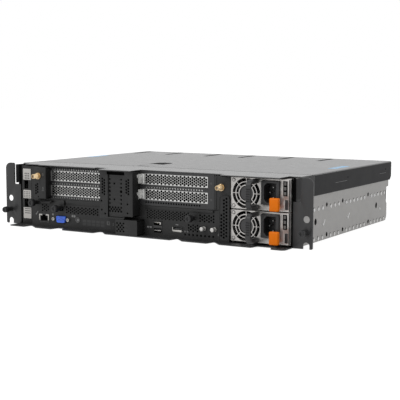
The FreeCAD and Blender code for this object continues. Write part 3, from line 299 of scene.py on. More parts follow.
class Finish:
    """A procedural surface: colour patches, fine grain in the bump and an uneven roughness."""

    def __init__(self, name, base, rough, metallic=0.0, specular=0.5):
        self.material = bpy.data.materials.new(name)
        self.material.use_nodes = True
        self.tree = self.material.node_tree
        self.shader = self.tree.nodes["Principled BSDF"]
        self.shader.inputs["Metallic"].default_value = metallic
        self.shader.inputs["Specular IOR Level"].default_value = specular
        self.base = base
        self.rough = rough
        self.place = self.tree.nodes.new("ShaderNodeTexCoord").outputs["Object"]

    def link(self, source, target):
        self.tree.links.new(source, target)

    def stretched(self, scale):
        mapping = self.tree.nodes.new("ShaderNodeMapping")
        mapping.inputs["Scale"].default_value = scale
        self.link(self.place, mapping.inputs["Vector"])
        return mapping.outputs["Vector"]

    def noise(self, size, detail, scale=EVEN):
        """Noise whose features are about `size` millimetres."""
        node = self.tree.nodes.new("ShaderNodeTexNoise")
        node.inputs["Scale"].default_value = 1 / (size * MM)
        node.inputs["Detail"].default_value = detail
        self.link(self.stretched(scale), node.inputs["Vector"])
        return node.outputs["Fac"]

    def cells(self, size, scale):
        node = self.tree.nodes.new("ShaderNodeTexVoronoi")
        node.inputs["Scale"].default_value = 1 / (size * MM)
        self.link(self.stretched(scale), node.inputs["Vector"])
        split = self.tree.nodes.new("ShaderNodeSeparateColor")
        self.link(node.outputs["Color"], split.inputs["Color"])
        return split.outputs["Red"]

    def ranged(self, source, low, high):
        node = self.tree.nodes.new("ShaderNodeMapRange")
        node.inputs["To Min"].default_value = low
        node.inputs["To Max"].default_value = high
        self.link(source, node.inputs["Value"])
        return node.outputs["Result"]

    def added(self, first, second):
        node = self.tree.nodes.new("ShaderNodeMath")
        node.operation = "ADD"
        self.link(first, node.inputs[0])
        self.link(second, node.inputs[1])
        return self.ranged(node.outputs["Value"], -0.5, 1.0)

    def colour(self, source, spread):
        """Base colour that varies either side of its middle by the given share."""
        node = self.tree.nodes.new("ShaderNodeMix")
        node.data_type = "RGBA"
        self.link(source, node.inputs["Factor"])
        for socket, share in (("A", 1 - spread), ("B", 1 + spread)):
            target = [entry for entry in node.inputs if entry.name == socket and entry.type == "RGBA"][0]
            target.default_value = (*[min(value * share, 1) for value in self.base], 1)
        result = [entry for entry in node.outputs if entry.type == "RGBA"][0]
        self.link(result, self.shader.inputs["Base Color"])

    def roughness(self, source, spread):
        self.link(self.ranged(source, self.rough - spread, self.rough + spread), self.shader.inputs["Roughness"])

    def bump(self, source, depth, strength):
        node = self.tree.nodes.new("ShaderNodeBump")
        node.inputs["Strength"].default_value = strength
        node.inputs["Distance"].default_value = depth * MM
        self.link(source, node.inputs["Height"])
        self.link(node.outputs["Normal"], self.shader.inputs["Normal"])


def grained(name, base, rough, patches, gloss, grain, metallic=0.0, specular=0.5, index=1.5):
    """Patches are (size, detail, share), gloss (size, detail, spread), grain (size, depth, strength, stretch)."""
    finish = Finish(name, base, rough, metallic, specular)
    finish.shader.inputs["IOR"].default_value = index
    finish.colour(finish.noise(*patches[:2]), patches[2])
    finish.roughness(finish.noise(*gloss[:2]), gloss[2])
    size, depth, strength, stretch = grain
    finish.bump(finish.noise(size, 2, stretch), depth, strength)
    return finish.material


def powder_coat(name, base, rough=0.42, specular=0.5, index=1.5, depth=0.03):
    ripple = (0.45, depth, 0.5, EVEN)
    return grained(name, base, rough, (24, 4, 0.16), (9, 4, 0.05), ripple, 0.0, specular, index)


def moulded(name, base, rough=0.45, tone=0.08, specular=0.5):
    return grained(name, base, rough, (7, 3, tone), (3, 3, 0.06), (0.35, 0.015, 0.5, EVEN), 0.0, specular)


def plated(name, base, rough, metallic=1.0):
    return grained(name, base, rough, (1.6, 4, 0.08), (0.9, 3, 0.06), (0.25, 0.008, 0.4, (1, 8, 1)), metallic)


def sticker(name, base):
    return grained(name, base, 0.5, (5, 3, 0.05), (2.5, 3, 0.05), (0.3, 0.006, 0.5, EVEN))


def bare_steel(name, base, rough, spangle=7.0, metallic=0.9, stretch=EVEN, tone=0.1):
    finish = Finish(name, base, rough, metallic)
    patches = finish.cells(spangle, stretch)
    finish.colour(finish.added(patches, finish.noise(2.2, 4, stretch)), tone)
    finish.roughness(patches, 0.07)
    finish.bump(finish.noise(0.8, 3, stretch), 0.02, 0.35)
    return finish.material


def circuit(name, base):
    """Green solder mask with the faint pattern of copper under it."""
    finish = Finish(name, base, 0.35)
    brick = finish.tree.nodes.new("ShaderNodeTexBrick")
    brick.inputs["Scale"].default_value = 1 / (26 * MM)
    brick.inputs["Mortar Size"].default_value = 0.03
    for socket, share in (("Color1", 1.0), ("Color2", 0.72), ("Mortar", 1.9)):
        brick.inputs[socket].default_value = (*[min(value * share, 1) for value in base], 1)
    finish.link(finish.place, brick.inputs["Vector"])
    finish.link(brick.outputs["Color"], finish.shader.inputs["Base Color"])
    finish.roughness(finish.noise(5, 3), 0.08)
    finish.bump(brick.outputs["Fac"], 0.04, 0.4)
    return finish.material


black = powder_coat("black_powder_coat", (0.017, 0.017, 0.018))
panel = powder_coat("panel_powder_coat", (0.014, 0.014, 0.014), 0.5, specular=0.35)
# Painted shade: a near-black coat for the sheets that stand in for shade behind holes, in gaps and along the cover's
# rear hem, and for the lamp strip's own dark frame.
painted_shade_and_lamp_black = powder_coat("painted_shade_and_lamp_coat", (0.002, 0.002, 0.002), 0.8, specular=0.05)
# Painted sheen: a lighter, glossier copy of the lid's coat for the front band, so it reads brighter than the rest of
# the top.
painted_sheen_band_black = powder_coat("painted_sheen_band_coat", (0.03, 0.03, 0.031), 0.27, index=1.92, depth=0.008)
lid_black = powder_coat("lid_powder_coat", (0.026, 0.026, 0.027), 0.29, index=1.8, depth=0.01)
# Painted shade: a darker, less glossy copy of the black coat for the side walls of the proud boxes and brackets and
# the supply's right edge.
painted_shade_side_black = powder_coat("painted_shade_powder_coat", (0.010, 0.010, 0.010), 0.62, specular=0.15)
# Painted light: a lighter copy of the black coat for the ear wings, which sit in the ears' shade.
painted_light_wing_black = powder_coat("painted_light_wing_coat", (0.030, 0.030, 0.031), 0.6, specular=0.2)
# Painted shade: a darker, less glossy copy of the lid's coat for its side flanges, so they read darker than the top.
painted_shade_flange_black = powder_coat("painted_shade_flange_coat", (0.020, 0.020, 0.021), 0.6, specular=0.12)
zinc = bare_steel("galvanised_sheet", (0.27, 0.265, 0.258), 0.48, metallic=0.75)
# Painted highlight: a pure white sheet for the glints on the side walls.
painted_glint_white = bare_steel("painted_glint_sheet", (0.97, 0.97, 0.96), 0.5, metallic=0.0, tone=0.02)
cover_steel = bare_steel("slot_cover_steel", (0.52, 0.52, 0.51), 0.38, 4.0)
supply_steel = bare_steel("supply_steel", (0.44, 0.425, 0.41), 0.44, 5.0, 0.75)
dark_plastic = moulded("black_moulding", (0.016, 0.016, 0.017))
fan_plastic = moulded("fan_moulding", (0.035, 0.035, 0.036), 0.4)
orange = moulded("orange_moulding", (0.90, 0.20, 0.002), 0.42, tone=0.04, specular=0.2)
blue = moulded("blue_moulding", (0.085, 0.22, 1.0), 0.35)
rotor_plastic = moulded("rotor_moulding", (0.009, 0.009, 0.01), 0.5, specular=0.3)
screw_black = plated("black_oxide", (0.03, 0.03, 0.031), 0.38, 0.5)
nickel = plated("nickel_plate", (0.72, 0.71, 0.68), 0.26)
dull_nickel = plated("dull_nickel", (0.42, 0.41, 0.39), 0.38)
stud_nickel = plated("stud_nickel", (0.56, 0.55, 0.53), 0.4, 0.7)
# Painted shade: a darkened nickel for the pins deep inside the mains inlets.
painted_shade_pin_nickel = plated("painted_shade_pin_nickel", (0.26, 0.255, 0.25), 0.4)
# Painted shade: nickel darkened nearly to black for the connector shells and the contacts deep inside the network
# jack.
painted_shade_nickel = plated("painted_shade_nickel", (0.05, 0.05, 0.05), 0.45, 0.8)
gold = plated("gold_plate", (0.66, 0.50, 0.30), 0.3)
brass_pin = plated("contact_plate", (0.75, 0.70, 0.55), 0.3)
mask_green = circuit("circuit_board", (0.012, 0.075, 0.035))
extrusion = bare_steel("heatsink_aluminium", (0.75, 0.75, 0.76), 0.35, 9.0, 0.95, (1, 0.05, 1))
paper = sticker("label_white", (0.62, 0.60, 0.57))
print_grey = sticker("print_grey", (0.20, 0.20, 0.20))
print_dark = sticker("print_dark", (0.06, 0.06, 0.06))
print_dim = sticker("print_dim", (0.085, 0.085, 0.085))
sky = sticker("label_blue", (0.30, 0.56, 0.82))
mark_white = sticker("mark_white", (0.45, 0.45, 0.45))
faded = sticker("label_faded", (0.0195, 0.0195, 0.0195))
lamp_grey = moulded("lamp_lens", (0.13, 0.125, 0.12), 0.3)


# Chassis

WALL = node_box("chassis_base")
WALL_SHEET = 1.2
WALL_REAR = 320.0
DIMPLE_PITCH = 13.3
DIMPLE_FIRST = 55.0
DIMPLE_ROWS = (43.3, 5.0)
DIMPLE_RADIUS = 1.9
DIMPLE_DEPTH = 3.2
GLINT_DEPTH = 0.4
TICK = ((-4.2, -0.2), (-0.4, -3.2), (5.0, 4.2), (3.2, 4.8), (-0.6, -0.2))
TICK_STATIONS = (85.8, 169.0)
BIG_HOLES = ((95.5, 45.0), (149.2, 45.0), (242.8, 45.0), (96.2, 6.0), (150.4, 6.0), (245.0, 6.0))
BIG_HOLE_RADIUS = 2.9
OVAL_STATIONS = (60.4, 276.0)
OVAL_HEIGHT = 26.1
FANS = 6
FAN_PITCH = 66.4
FAN_Z = 43.0


def wall_outline(high):
    rear = WALL_REAR
    tab = rear + 5.7
    return rounded([
        (2.0, 0.0), (rear, 0.0, 9.0), (rear, 25.0, 1.0), (rear - 7.0, 33.0, 1.0), (rear - 7.0, 45.0, 1.0),
        (rear - 2.4, 45.0), (rear - 2.4, 50.0, 0.6), (tab, 50.0, 1.5), (tab, 60.0, 1.5), (rear, 60.0), (rear, high),
        (2.0, high),
    ])


def bowl(x, y, z, side):
    """A pressed dimple: a shallow cap whose rim lies on the wall's face and whose middle goes inwards."""
    rows = 4
    sides = 12
    bm = bmesh.new()
    loops = []
    for row in range(rows):
        share = row / rows
        spread = DIMPLE_RADIUS * math.cos(share * math.pi / 2)
        sink = DIMPLE_DEPTH * math.sin(share * math.pi / 2)
        loops.append([bm.verts.new((x - side * sink, a, b)) for a, b in ring(y, z, spread, sides)])
    middle = bm.verts.new((x - side * DIMPLE_DEPTH, y, z))
    for first, second in zip(loops, loops[1:]):
        for index in range(sides):
            following = (index + 1) % sides
            bm.faces.new((first[index], second[index], second[following], first[following]))
    for index in range(sides):
        bm.faces.new((loops[-1][index], middle, loops[-1][(index + 1) % sides]))
    return finished(bm)


def chassis():
    high = WALL[1]
    inner = high[0] - WALL_SHEET
    dimples = []
    for z in DIMPLE_ROWS:
        taken = [y for y, height in BIG_HOLES if abs(height - z) < 6]
        y = DIMPLE_FIRST
        while y < WALL_REAR - 12:
            if all(abs(y - other) > 4 for other in taken):
                dimples.append((y, z))
            y += DIMPLE_PITCH
    holes = [ring(y, z, DIMPLE_RADIUS, 12) for y, z in dimples]
    holes += [ring(y, z, BIG_HOLE_RADIUS, 16) for y, z in BIG_HOLES]
    holes += [ellipse(y, OVAL_HEIGHT, 3.6, 4.3) for y in OVAL_STATIONS]
    # Painted highlights: a white teardrop below each dimple for its lit lower half, the lit V of two embosses and one
    # bright dot, all in the pure white sheet.
    marks = [[(y + a, 21.6 + b) for a, b in TICK] for y in TICK_STATIONS]
    marks += [ellipse(y + 0.9, z - 1.6, 2.2, 2.4, 10) for y, z in dimples] + [ellipse(290.9, 19.5, 1.7, 2.0, 10)]
    meshes, glints = [], []
    for side in (-1, 1):
        face = side * high[0]
        at = inner if side > 0 else face
        meshes.append(side_plate(wall_outline(high[2]), holes, at, WALL_SHEET))
        meshes += [bowl(face - side * 0.02, y, z, side) for y, z in dimples]
        proud = face if side > 0 else face - GLINT_DEPTH
        glints += [side_plate(mark, [], proud, GLINT_DEPTH) for mark in marks]
    floor_holes = [ring(x, y, 2.0, 12) for x in (-190, -110, -43, 40, 112) for y in (30, 130, 230)]
    meshes.append(flat_plate(rectangle(-inner, inner, 2.0, WALL_REAR), floor_holes, 0.0, WALL_SHEET))
    grilles = []
    for fan in range(FANS):
        x = (fan - 2.5) * FAN_PITCH
        centres = packed(x - 29, x + 29, 14.5, 71.5, 5.2, 4.2)
        grilles += [hexagon(a, b, 4.2) for a, b in centres if math.hypot(a - x, b - FAN_Z) < 26.6]
    back = rectangle(-inner, inner, WALL_SHEET, high[2])
    meshes.append(plate(back, grilles, WALL_REAR - WALL_SHEET, WALL_SHEET))
    build("chassis_tray", meshes, zinc, "galvanised", "chassis_base")
    build("wall_painted_glints", glints, painted_glint_white, "galvanised")
    # Painted shade: near-black blocks just inside the wall behind its big holes and ovals.
    stations = BIG_HOLES + tuple((y, OVAL_HEIGHT) for y in OVAL_STATIONS)
    behind = blocks(*[
        (x, x + 0.3, y - 4.5, y + 4.5, max(z - 5.0, 1.3), z + 5.0, 0)
        for y, z in stations for x in (inner - 2.6, -inner + 2.3)
    ])
    build("wall_hole_shades", behind, painted_shade_and_lamp_black, "galvanised")


chassis()

# Front lip, ears and label column

HOLE_X = 232.55
PANEL_HALF = 241.0
EAR_INNER = 213.5
WALL_OUT = 217.9
FACE = -5.0
SHEET = 1.2
BROW = -22.0
LIP_NOTCHES = (
    (-191.5, -189.5, -187.5, -170.5), (-143.5, -140.5, -130.5, -123.5), (-71.5, -69.0, -65.0, -51.5),
    (51.0, 53.5, 55.5, 69.0), (105.5, 108.5, 110.5, 123.5), (168.5, 171.5, 191.0, 195.7),
)


def front_lip():
    """The black foot of the front, its edge notched and its right end a rounded tongue."""
    front, back, notch_back = -22.5, -0.3, -9.5
    corners = [(-213.2, 2.0), (-213.2, back), (-217.0, back), (-217.0, front, 2.0)]
    for left, left_back, right_back, right in LIP_NOTCHES:
        corners += [(left, front, 1.2), (left_back, notch_back, 1.2)]
        corners += [(right_back, notch_back, 1.2), (right, front, 1.2)]
    corners += [(214.0, front, 6.0), (214.0, back), (213.2, back), (213.2, 2.0)]
    painted("front_lip_shelf", flat_plate(rounded(corners), [], 0.0, 1.5, 0.3), black, "front_lip")


def ears():
    low, high = 0.4, 87.6
    shoulder, gap_floor = 225.0, 57.5
    slot_reach, slot_top = 4.3, 8.75
    for side, name in ((-1, "left"), (1, "right")):
        inner, outer, hole = side * EAR_INNER, side * PANEL_HALF, side * HOLE_X
        near, far = hole - side * slot_reach, hole + side * slot_reach
        outline = rounded([
            (inner, low), (near, low, 0.5), (near, slot_top, 4.25), (far, slot_top, 4.25), (far, low, 0.5),
            (outer, low, 2.0), (outer, high, 8.0), (side * shoulder, high, 2.0),
            (side * shoulder, gap_floor, 0.8), (inner, gap_floor),
        ], 8)
        holes = [ring(hole, 36.75, 4.3, 40), ring(hole, 21.0, 2.75, 20)]
        front, wing_front, foot_back = (-1.2, -5.0, 6.0) if side < 0 else (0.0, 1.0, 14.0)
        painted(f"rack_ear_{name}", plate(outline, holes, front, 2.0, 0.3), black, f"ear_{name}")
        at = WALL_OUT if side > 0 else -WALL_OUT - 1.3
        wing = side_plate(rectangle(wing_front, 54.0, 59.8, 85.95, 0.6), [], at, 1.3, 0.2)
        foot = side_plate(rectangle(0.9, foot_back, 55.5, 61.0), [], at + 0.05, 1.2)
        painted(f"ear_wing_{name}", [wing, foot], painted_light_wing_black)
        # Painted shade: near-black sheets in the gap behind each ear, over the wall's inner face and along its front
        # edge, where the gap lies in shade.
        wall_shade_span, strip = sorted((side * 217.8, side * 214.2)), sorted((side * 212.7, side * 214.4))
        gap_shade = blocks((*wall_shade_span, 1.2, 40.0, 57.5, 85.8), (*strip, -0.6, 1.0, 2.0, 85.6, 0.2))
        painted(f"ear_gap_shade_{name}", gap_shade, painted_shade_and_lamp_black)


def bars(x0, x1, z0, z1, y, columns, rows, fill):
    """A generic pattern of short printed bars inside a label."""
    meshes = []
    step_x, step_z = (x1 - x0) / columns, (z1 - z0) / rows
    for column in range(columns):
        for row in range(rows):
            a, b = x0 + column * step_x, z0 + row * step_z
            meshes.append(plate(rectangle(a, a + step_x * fill, b, b + step_z * fill), [], y, 0.04))
    return meshes


def printed(outlines, holes=(), y=FACE - 0.06):
    """Printed marks, each with the same holes."""
    return [plate(outline, holes, y, 0.06) for outline in outlines]


def label_column():
    right = -190.8
    slots = [rectangle(-208.0, -201.0, low, low + 12.0, 0.8) for low in (25.5, 51.5)]
    meshes = [plate(rectangle(-212.2, right, 1.5, 84.5), slots, 0.0, SHEET, 0.2)]
    meshes += blocks((right - SHEET, right, FACE, 0.2, 5.0, 84.5, 0.2))
    painted("label_strip", meshes, panel, "label_column")
    patches = [(64.2, 80.0), (37.8, 49.6), (9.0, 24.6)]
    papers = [plate(rectangle(-210.0, -195.3, low, high, 0.4), [], -0.12, 0.12) for low, high in patches]
    painted("bare_labels", papers, paper)
    at, ink = -0.17, 0.04
    marks = bars(-207.0, -197.6, 65.6, 75.4, at, 3, 3, 0.6) + bars(-208.6, -197.0, 39.0, 48.6, at, 4, 4, 0.55)
    marks += [plate(rectangle(-207.8, -196.8, z, z + 1.1), [], at, ink) for z in (16.2, 19.2, 22.2)]
    painted("label_bars", marks, print_dark)


front_lip()
ears()
label_column()

# Connector panels


def without_near(outlines, *places):
    """Leaves out the holes that would run into something: places are (x, z, reach)."""
    kept = []
    for outline in outlines:
        a = sum(point[0] for point in outline) / len(outline)
        b = sum(point[1] for point in outline) / len(outline)
        if all(math.hypot(a - x, b - z) > reach for x, z, reach in places):
            kept.append(outline)
    return kept


shades = []


def shade(x0, x1, z0, z1, y=FACE + SHEET + 0.3):
    """A near-black sheet close behind a perforated field: painted shade seen through its holes."""
    shades.append(block((x0, y, z0), (x1, y + 0.3, z1), 0))


def panel_left():
    left = -190.5
    holes = [
        rectangle(-177.85, -160.15, 5.75, 19.45, 0.3), rectangle(-146.95, -128.85, 7.25, 17.55, 2.0),
        ring(-109.4, 13.4, 4.3, 32), ring(-179.6, 34.4, 2.7, 16), rectangle(-146.0, -134.2, 24.2, 30.2, 1.0),
        rectangle(-131.2, -129.8, 32.6, 37.2, 0.4),
    ]
    holes += without_near(dots(-131.0, -73.0, 19.8, 33.0), (-138.9, 28.5, 8.0)) + dots(-172.8, -159.4, 21.0, 32.8)
    shade(-132.4, -72.0, 19.0, 33.6)
    shade(-173.6, -158.6, 20.4, 33.4)
    shade(-146.6, -134.0, 23.8, 30.6)
    meshes = [plate(rectangle(left, -35.0, 1.5, 40.6), holes, FACE, SHEET)]
    meshes.append(plate(rectangle(left, -157.6, 40.8, 84.6), [ring(-169.5, 72.3, 3.4, 24)], FACE, SHEET))
    back = FACE + 0.1
    meshes += blocks(
        (-129.2, -62.0, FACE - 1.0, back, 34.0, 40.4, 0.4), (-148.4, -131.8, FACE - 1.8, back, 31.0, 39.4, 0.5),
        (-176.4, -151.8, FACE - 5.0, back, 35.6, 37.6, 0.5), (left, -151.5, FACE - 0.6, back, 38.8, 40.4, 0.2),
        (-170.0, -152.6, FACE - 6.5, FACE - 4.0, 34.2, 36.2, 0.5),
    )
    painted("connector_panel_left", meshes, panel, "io_panel_left")
    bright = [rectangle(x, x + 2.8, 16.7, 19.7, 0.4) for x in (-119.8, -116.3)]
    bright += [[(-184.0, 16.6), (-182.4, 16.2), (-178.9, 20.6), (-180.2, 21.6)], ring(-152.8, 18.4, 1.5, 16)]
    painted("panel_marks_left", printed(bright), print_grey)
    painted("bare_label_low", bars(-101.0, -63.0, 6.6, 15.4, FACE - 0.05, 5, 2, 0.82), faded)
    small = printed([rectangle(-60.2, -55.2, 9.8, 15.2, 0.8)], [rectangle(-58.4, -57.0, 11.0, 14.0)])
    painted("bare_label_small", small + printed([rectangle(-50.4, -48.6, 9.6, 13.4, 0.4)]), print_dim)


def panel_right():
    screw, studs_at = (77.1, 29.1), ((92.0, 16.2), (108.0, 16.2))
    holes = [rectangle(14.45, 29.55, 5.15, 22.05, 0.4), rectangle(44.25, 62.15, 8.75, 16.05, 0.6)]
    holes.append(ring(*screw, 2.7, 16))
    holes += without_near(dots(3.0, 71.0, 22.8, 36.0, 3.3, 2.3), (*screw, 8.6))
    holes += without_near(dots(67.0, 88.0, 9.0, 21.8), (*studs_at[0], 6.0))
    holes += without_near(dots(84.5, 108.0, 22.4, 36.0), *[(*place, 7.0) for place in studs_at], (*screw, 7.6))
    holes += [ring(64.0 + 5.95 * index, 6.6, 1.5, 10) for index in range(8)]
    shade(2.0, 71.6, 22.4, 36.2)
    shade(66.4, 88.6, 8.6, 22.2)
    shade(83.6, 108.8, 22.6, 36.6)
    shade(62.0, 108.6, 4.4, 8.5)
    corners = [(-20.0, 22.0), (0.7, 22.0), (0.7, 1.5), (114.2, 1.5), (114.2, 40.6), (-20.0, 40.6)]
    meshes = [plate(corners, holes, FACE, SHEET)]
    meshes += blocks(
        (2.0, 84.0, FACE - 1.0, FACE + 0.1, 36.2, 40.4, 0.4), (83.0, 106.5, FACE - 2.6, FACE + 0.1, 37.0, 40.4, 0.4),
    )
    painted("connector_panel_right", meshes, panel, "io_panel_right")
    solid = [rectangle(x, x + 3.2, 11.3, 13.5, 0.5) for x in (5.1, 9.2)]
    solid += [rectangle(49.4, 53.8, 17.7, 18.9, 0.3), rectangle(112.6, 113.6, 8.2, 11.0)]
    marks = printed(solid) + printed([ring(63.9, 10.4, 1.0, 16)], [ring(63.9, 10.4, 0.5, 10)])
    marks += printed([hexagon(67.8, 10.6, 2.0)], [ring(67.8, 10.6, 0.5, 10)])
    painted("panel_marks_right", marks, print_grey)


def vent_column():
    """The perforated column: a raised border, a rounded top and staggered dots, three across lower down."""
    left, right, low, high, front = 115.2, 130.3, 1.5, 60.6, -7.2
    pitch, step, middle = 4.3, 3.65, 122.3
    holes = [ring(middle, 7.2 + pitch * row, 1.5, 10) for row in range(12)]
    holes += [ring(middle - step, 9.35 + pitch * row, 1.5, 10) for row in range(7)]
    holes += [ring(middle + step, 9.35 + pitch * row, 1.5, 10) for row in range(12)]
    shade(left + 1.4, right - 1.4, low + 3.0, high - 3.0, front + SHEET + 0.15)
    outline, rim = [
        rounded([
            (left + inset, low + inset), (right - inset, low + inset),
            (right - inset, high - inset, radius), (left + inset, high - inset, radius),
        ], 6)
        for inset, radius in ((0.0, 4.0), (1.2, 3.0))
    ]
    meshes = [plate(outline, holes, front, SHEET, 0.2)]
    meshes.append(plate(outline, [rim], front - 0.5, 0.55, 0.15))
    for x in (left, right - SHEET):
        meshes.append(block((x, front + 0.5, low), (x + SHEET, FACE + SHEET, 40.8), 0.2))
    painted("vent_strip", meshes, panel, "vent_column")


panel_left()
panel_right()
vent_column()

# Risers and their slot covers

SLOT_HALF = 7.2
SLOT_STEP = 10.16
RISERS = {
    "left": {"frame": (-157.5, -35.0), "slot": (-156.0, -50.0), "middle": 62.6, "tab": 1.0},
    "right": {"frame": (-12.0, 106.8), "slot": (-10.0, 97.5), "middle": 65.4, "tab": 11.0},
}


def riser(name):
    facts = RISERS[name]
    left, right = facts["slot"]
    middle, tab = facts["middle"], facts["tab"]
    centres = (middle - SLOT_STEP, middle + SLOT_STEP)
    lowest, highest = centres[0] - SLOT_HALF, centres[1] + SLOT_HALF
    holes = [rectangle(left, right, z - SLOT_HALF, z + SLOT_HALF, 0.5) for z in centres]
    bright_rows = [middle - 0.6]
    dark_rows = [lowest - 3.0]
    if name == "left":
        bright_rows += [highest + 1.9, lowest - 2.4]
        dark_rows = [highest + 4.2]
    pitch, half, tall = 4.05, 1.35, 1.0
    count = int((right - left - tab - 4.0) // pitch)
    first = left + tab + 2.6
    starts = [first + pitch * index - half for index in range(count)]
    holes += [rectangle(x, x + 2 * half, z - tall, z + tall, 0.5, 2) for z in bright_rows for x in starts]
    holes += [ring(first + 3.9 * index, z, 1.3, 8) for z in dark_rows for index in range(count)]
    low, high = facts["frame"]
    frame_plate = plate(rectangle(low, high, 40.9, 85.9), holes, FACE, SHEET)
    lip = blocks((left, right, FACE - 0.4, FACE + 0.1, middle + 1.3, middle + 2.0, 0.15))
    painted(f"riser_front_{name}", [frame_plate] + lip, black, f"riser_frame_{name}")
    covers = []
    back = FACE + SHEET
    for z in centres:
        vents = honeycomb(left + tab, right - 0.6, z - SLOT_HALF, z + SLOT_HALF, 3.39, 3.02)
        outline = rectangle(left - 1.6, right + 1.6, z - SLOT_HALF - 1.6, z + SLOT_HALF + 1.6, 0.4)
        covers.append(plate(outline, vents, back, 0.6))
        # Painted shade: a near-black sheet behind each slot cover, where the inside would show through its vents.
        shades.extend(blocks((left, right, -1.4, -1.0, z - 7.6, z + 7.6, 0)))
        if tab > 5:
            catch = z + 1.6 - 3 * (z < middle)
            covers += blocks(
                (left + 0.4, left + tab - 1.0, FACE + 0.3, back + 0.2, z - 6.6, z + 6.6, 0.4),
                (-6.2, -5.5, FACE - 4.6, back, z - 6.4, z + 6.4, 0.2),
                (-6.2, -5.5, FACE - 7.6, FACE - 4.0, catch, catch + 4.0, 0.2),
            )
    covers += blocks(*[(left, right, back + 0.05, back + 0.95, z - 1.3, z + 1.3, 0.2) for z in bright_rows])
    build(f"slot_cover_pair_{name}", covers, cover_steel, "slot_steel", f"slot_covers_{name}")


riser("left")
riser("right")

# Brackets that stand proud of the face


def shell_walls(x0, x1, y0, z0, z1):
    """The four sides of a shallow folded box, open at the back."""
    front = y0 + 0.3
    return blocks(
        (x0, x0 + SHEET, front, FACE, z0, z1, 0.2), (x1 - SHEET, x1, front, FACE, z0, z1, 0.2),
        (x0, x1, front, FACE, z0, z0 + SHEET, 0.2), (x0, x1, front, FACE, z1 - SHEET, z1, 0.2),
    )


def antenna_brackets():
    low, high, face = 41.2, 84.0, -16.0
    holes = [ring(-169.5, 72.3, 3.4, 24), ring(-169.5, 43.4, 0.9, 8)]
    holes += [ring(x, z + 3.75 * row, 1.45, 10) for x, z in ((-170.5, 49.8), (-173.6, 47.9)) for row in range(4)]
    meshes = [plate(rectangle(-176.5, -155.9, low, high, 0.6), holes, face, SHEET, 0.25)]
    meshes += blocks((-157.6, -156.6, face - 0.3, face + 0.2, 42.0, 83.0, 0.2))
    shade(-175.4, -168.0, 46.0, 64.0, -14.6)
    painted("antenna_bracket_box_left", meshes, panel, "antenna_bracket_left")
    painted("antenna_bracket_sides", shell_walls(-176.5, -155.9, face, low, high), painted_shade_side_black)
    front = FACE - 0.4
    meshes = [plate(rectangle(107.1, 130.0, low, high, 0.6), [ring(117.3, 70.4, 3.4, 24)], front, SHEET, 0.25)]
    meshes += blocks((108.6, 110.6, front - 0.5, front + 0.2, 42.0, 83.0))
    painted("antenna_bracket_box_right", meshes, panel, "antenna_bracket_right")
    marks = printed([rectangle(-163.2, -159.2, 51.8, 52.8)], y=face - 0.06)
    for z in (74.6, 55.4):
        marks += printed([ellipse(-160.9, z, 1.2, 2.2)], [ellipse(-160.9, z, 0.5, 1.2)], face - 0.06)
    for z in (74.6, 53.6):
        marks += printed([ring(102.6, z, 1.3, 16)], [ring(102.6, z, 0.6, 12)])
    painted("slot_marks", marks, print_dim)


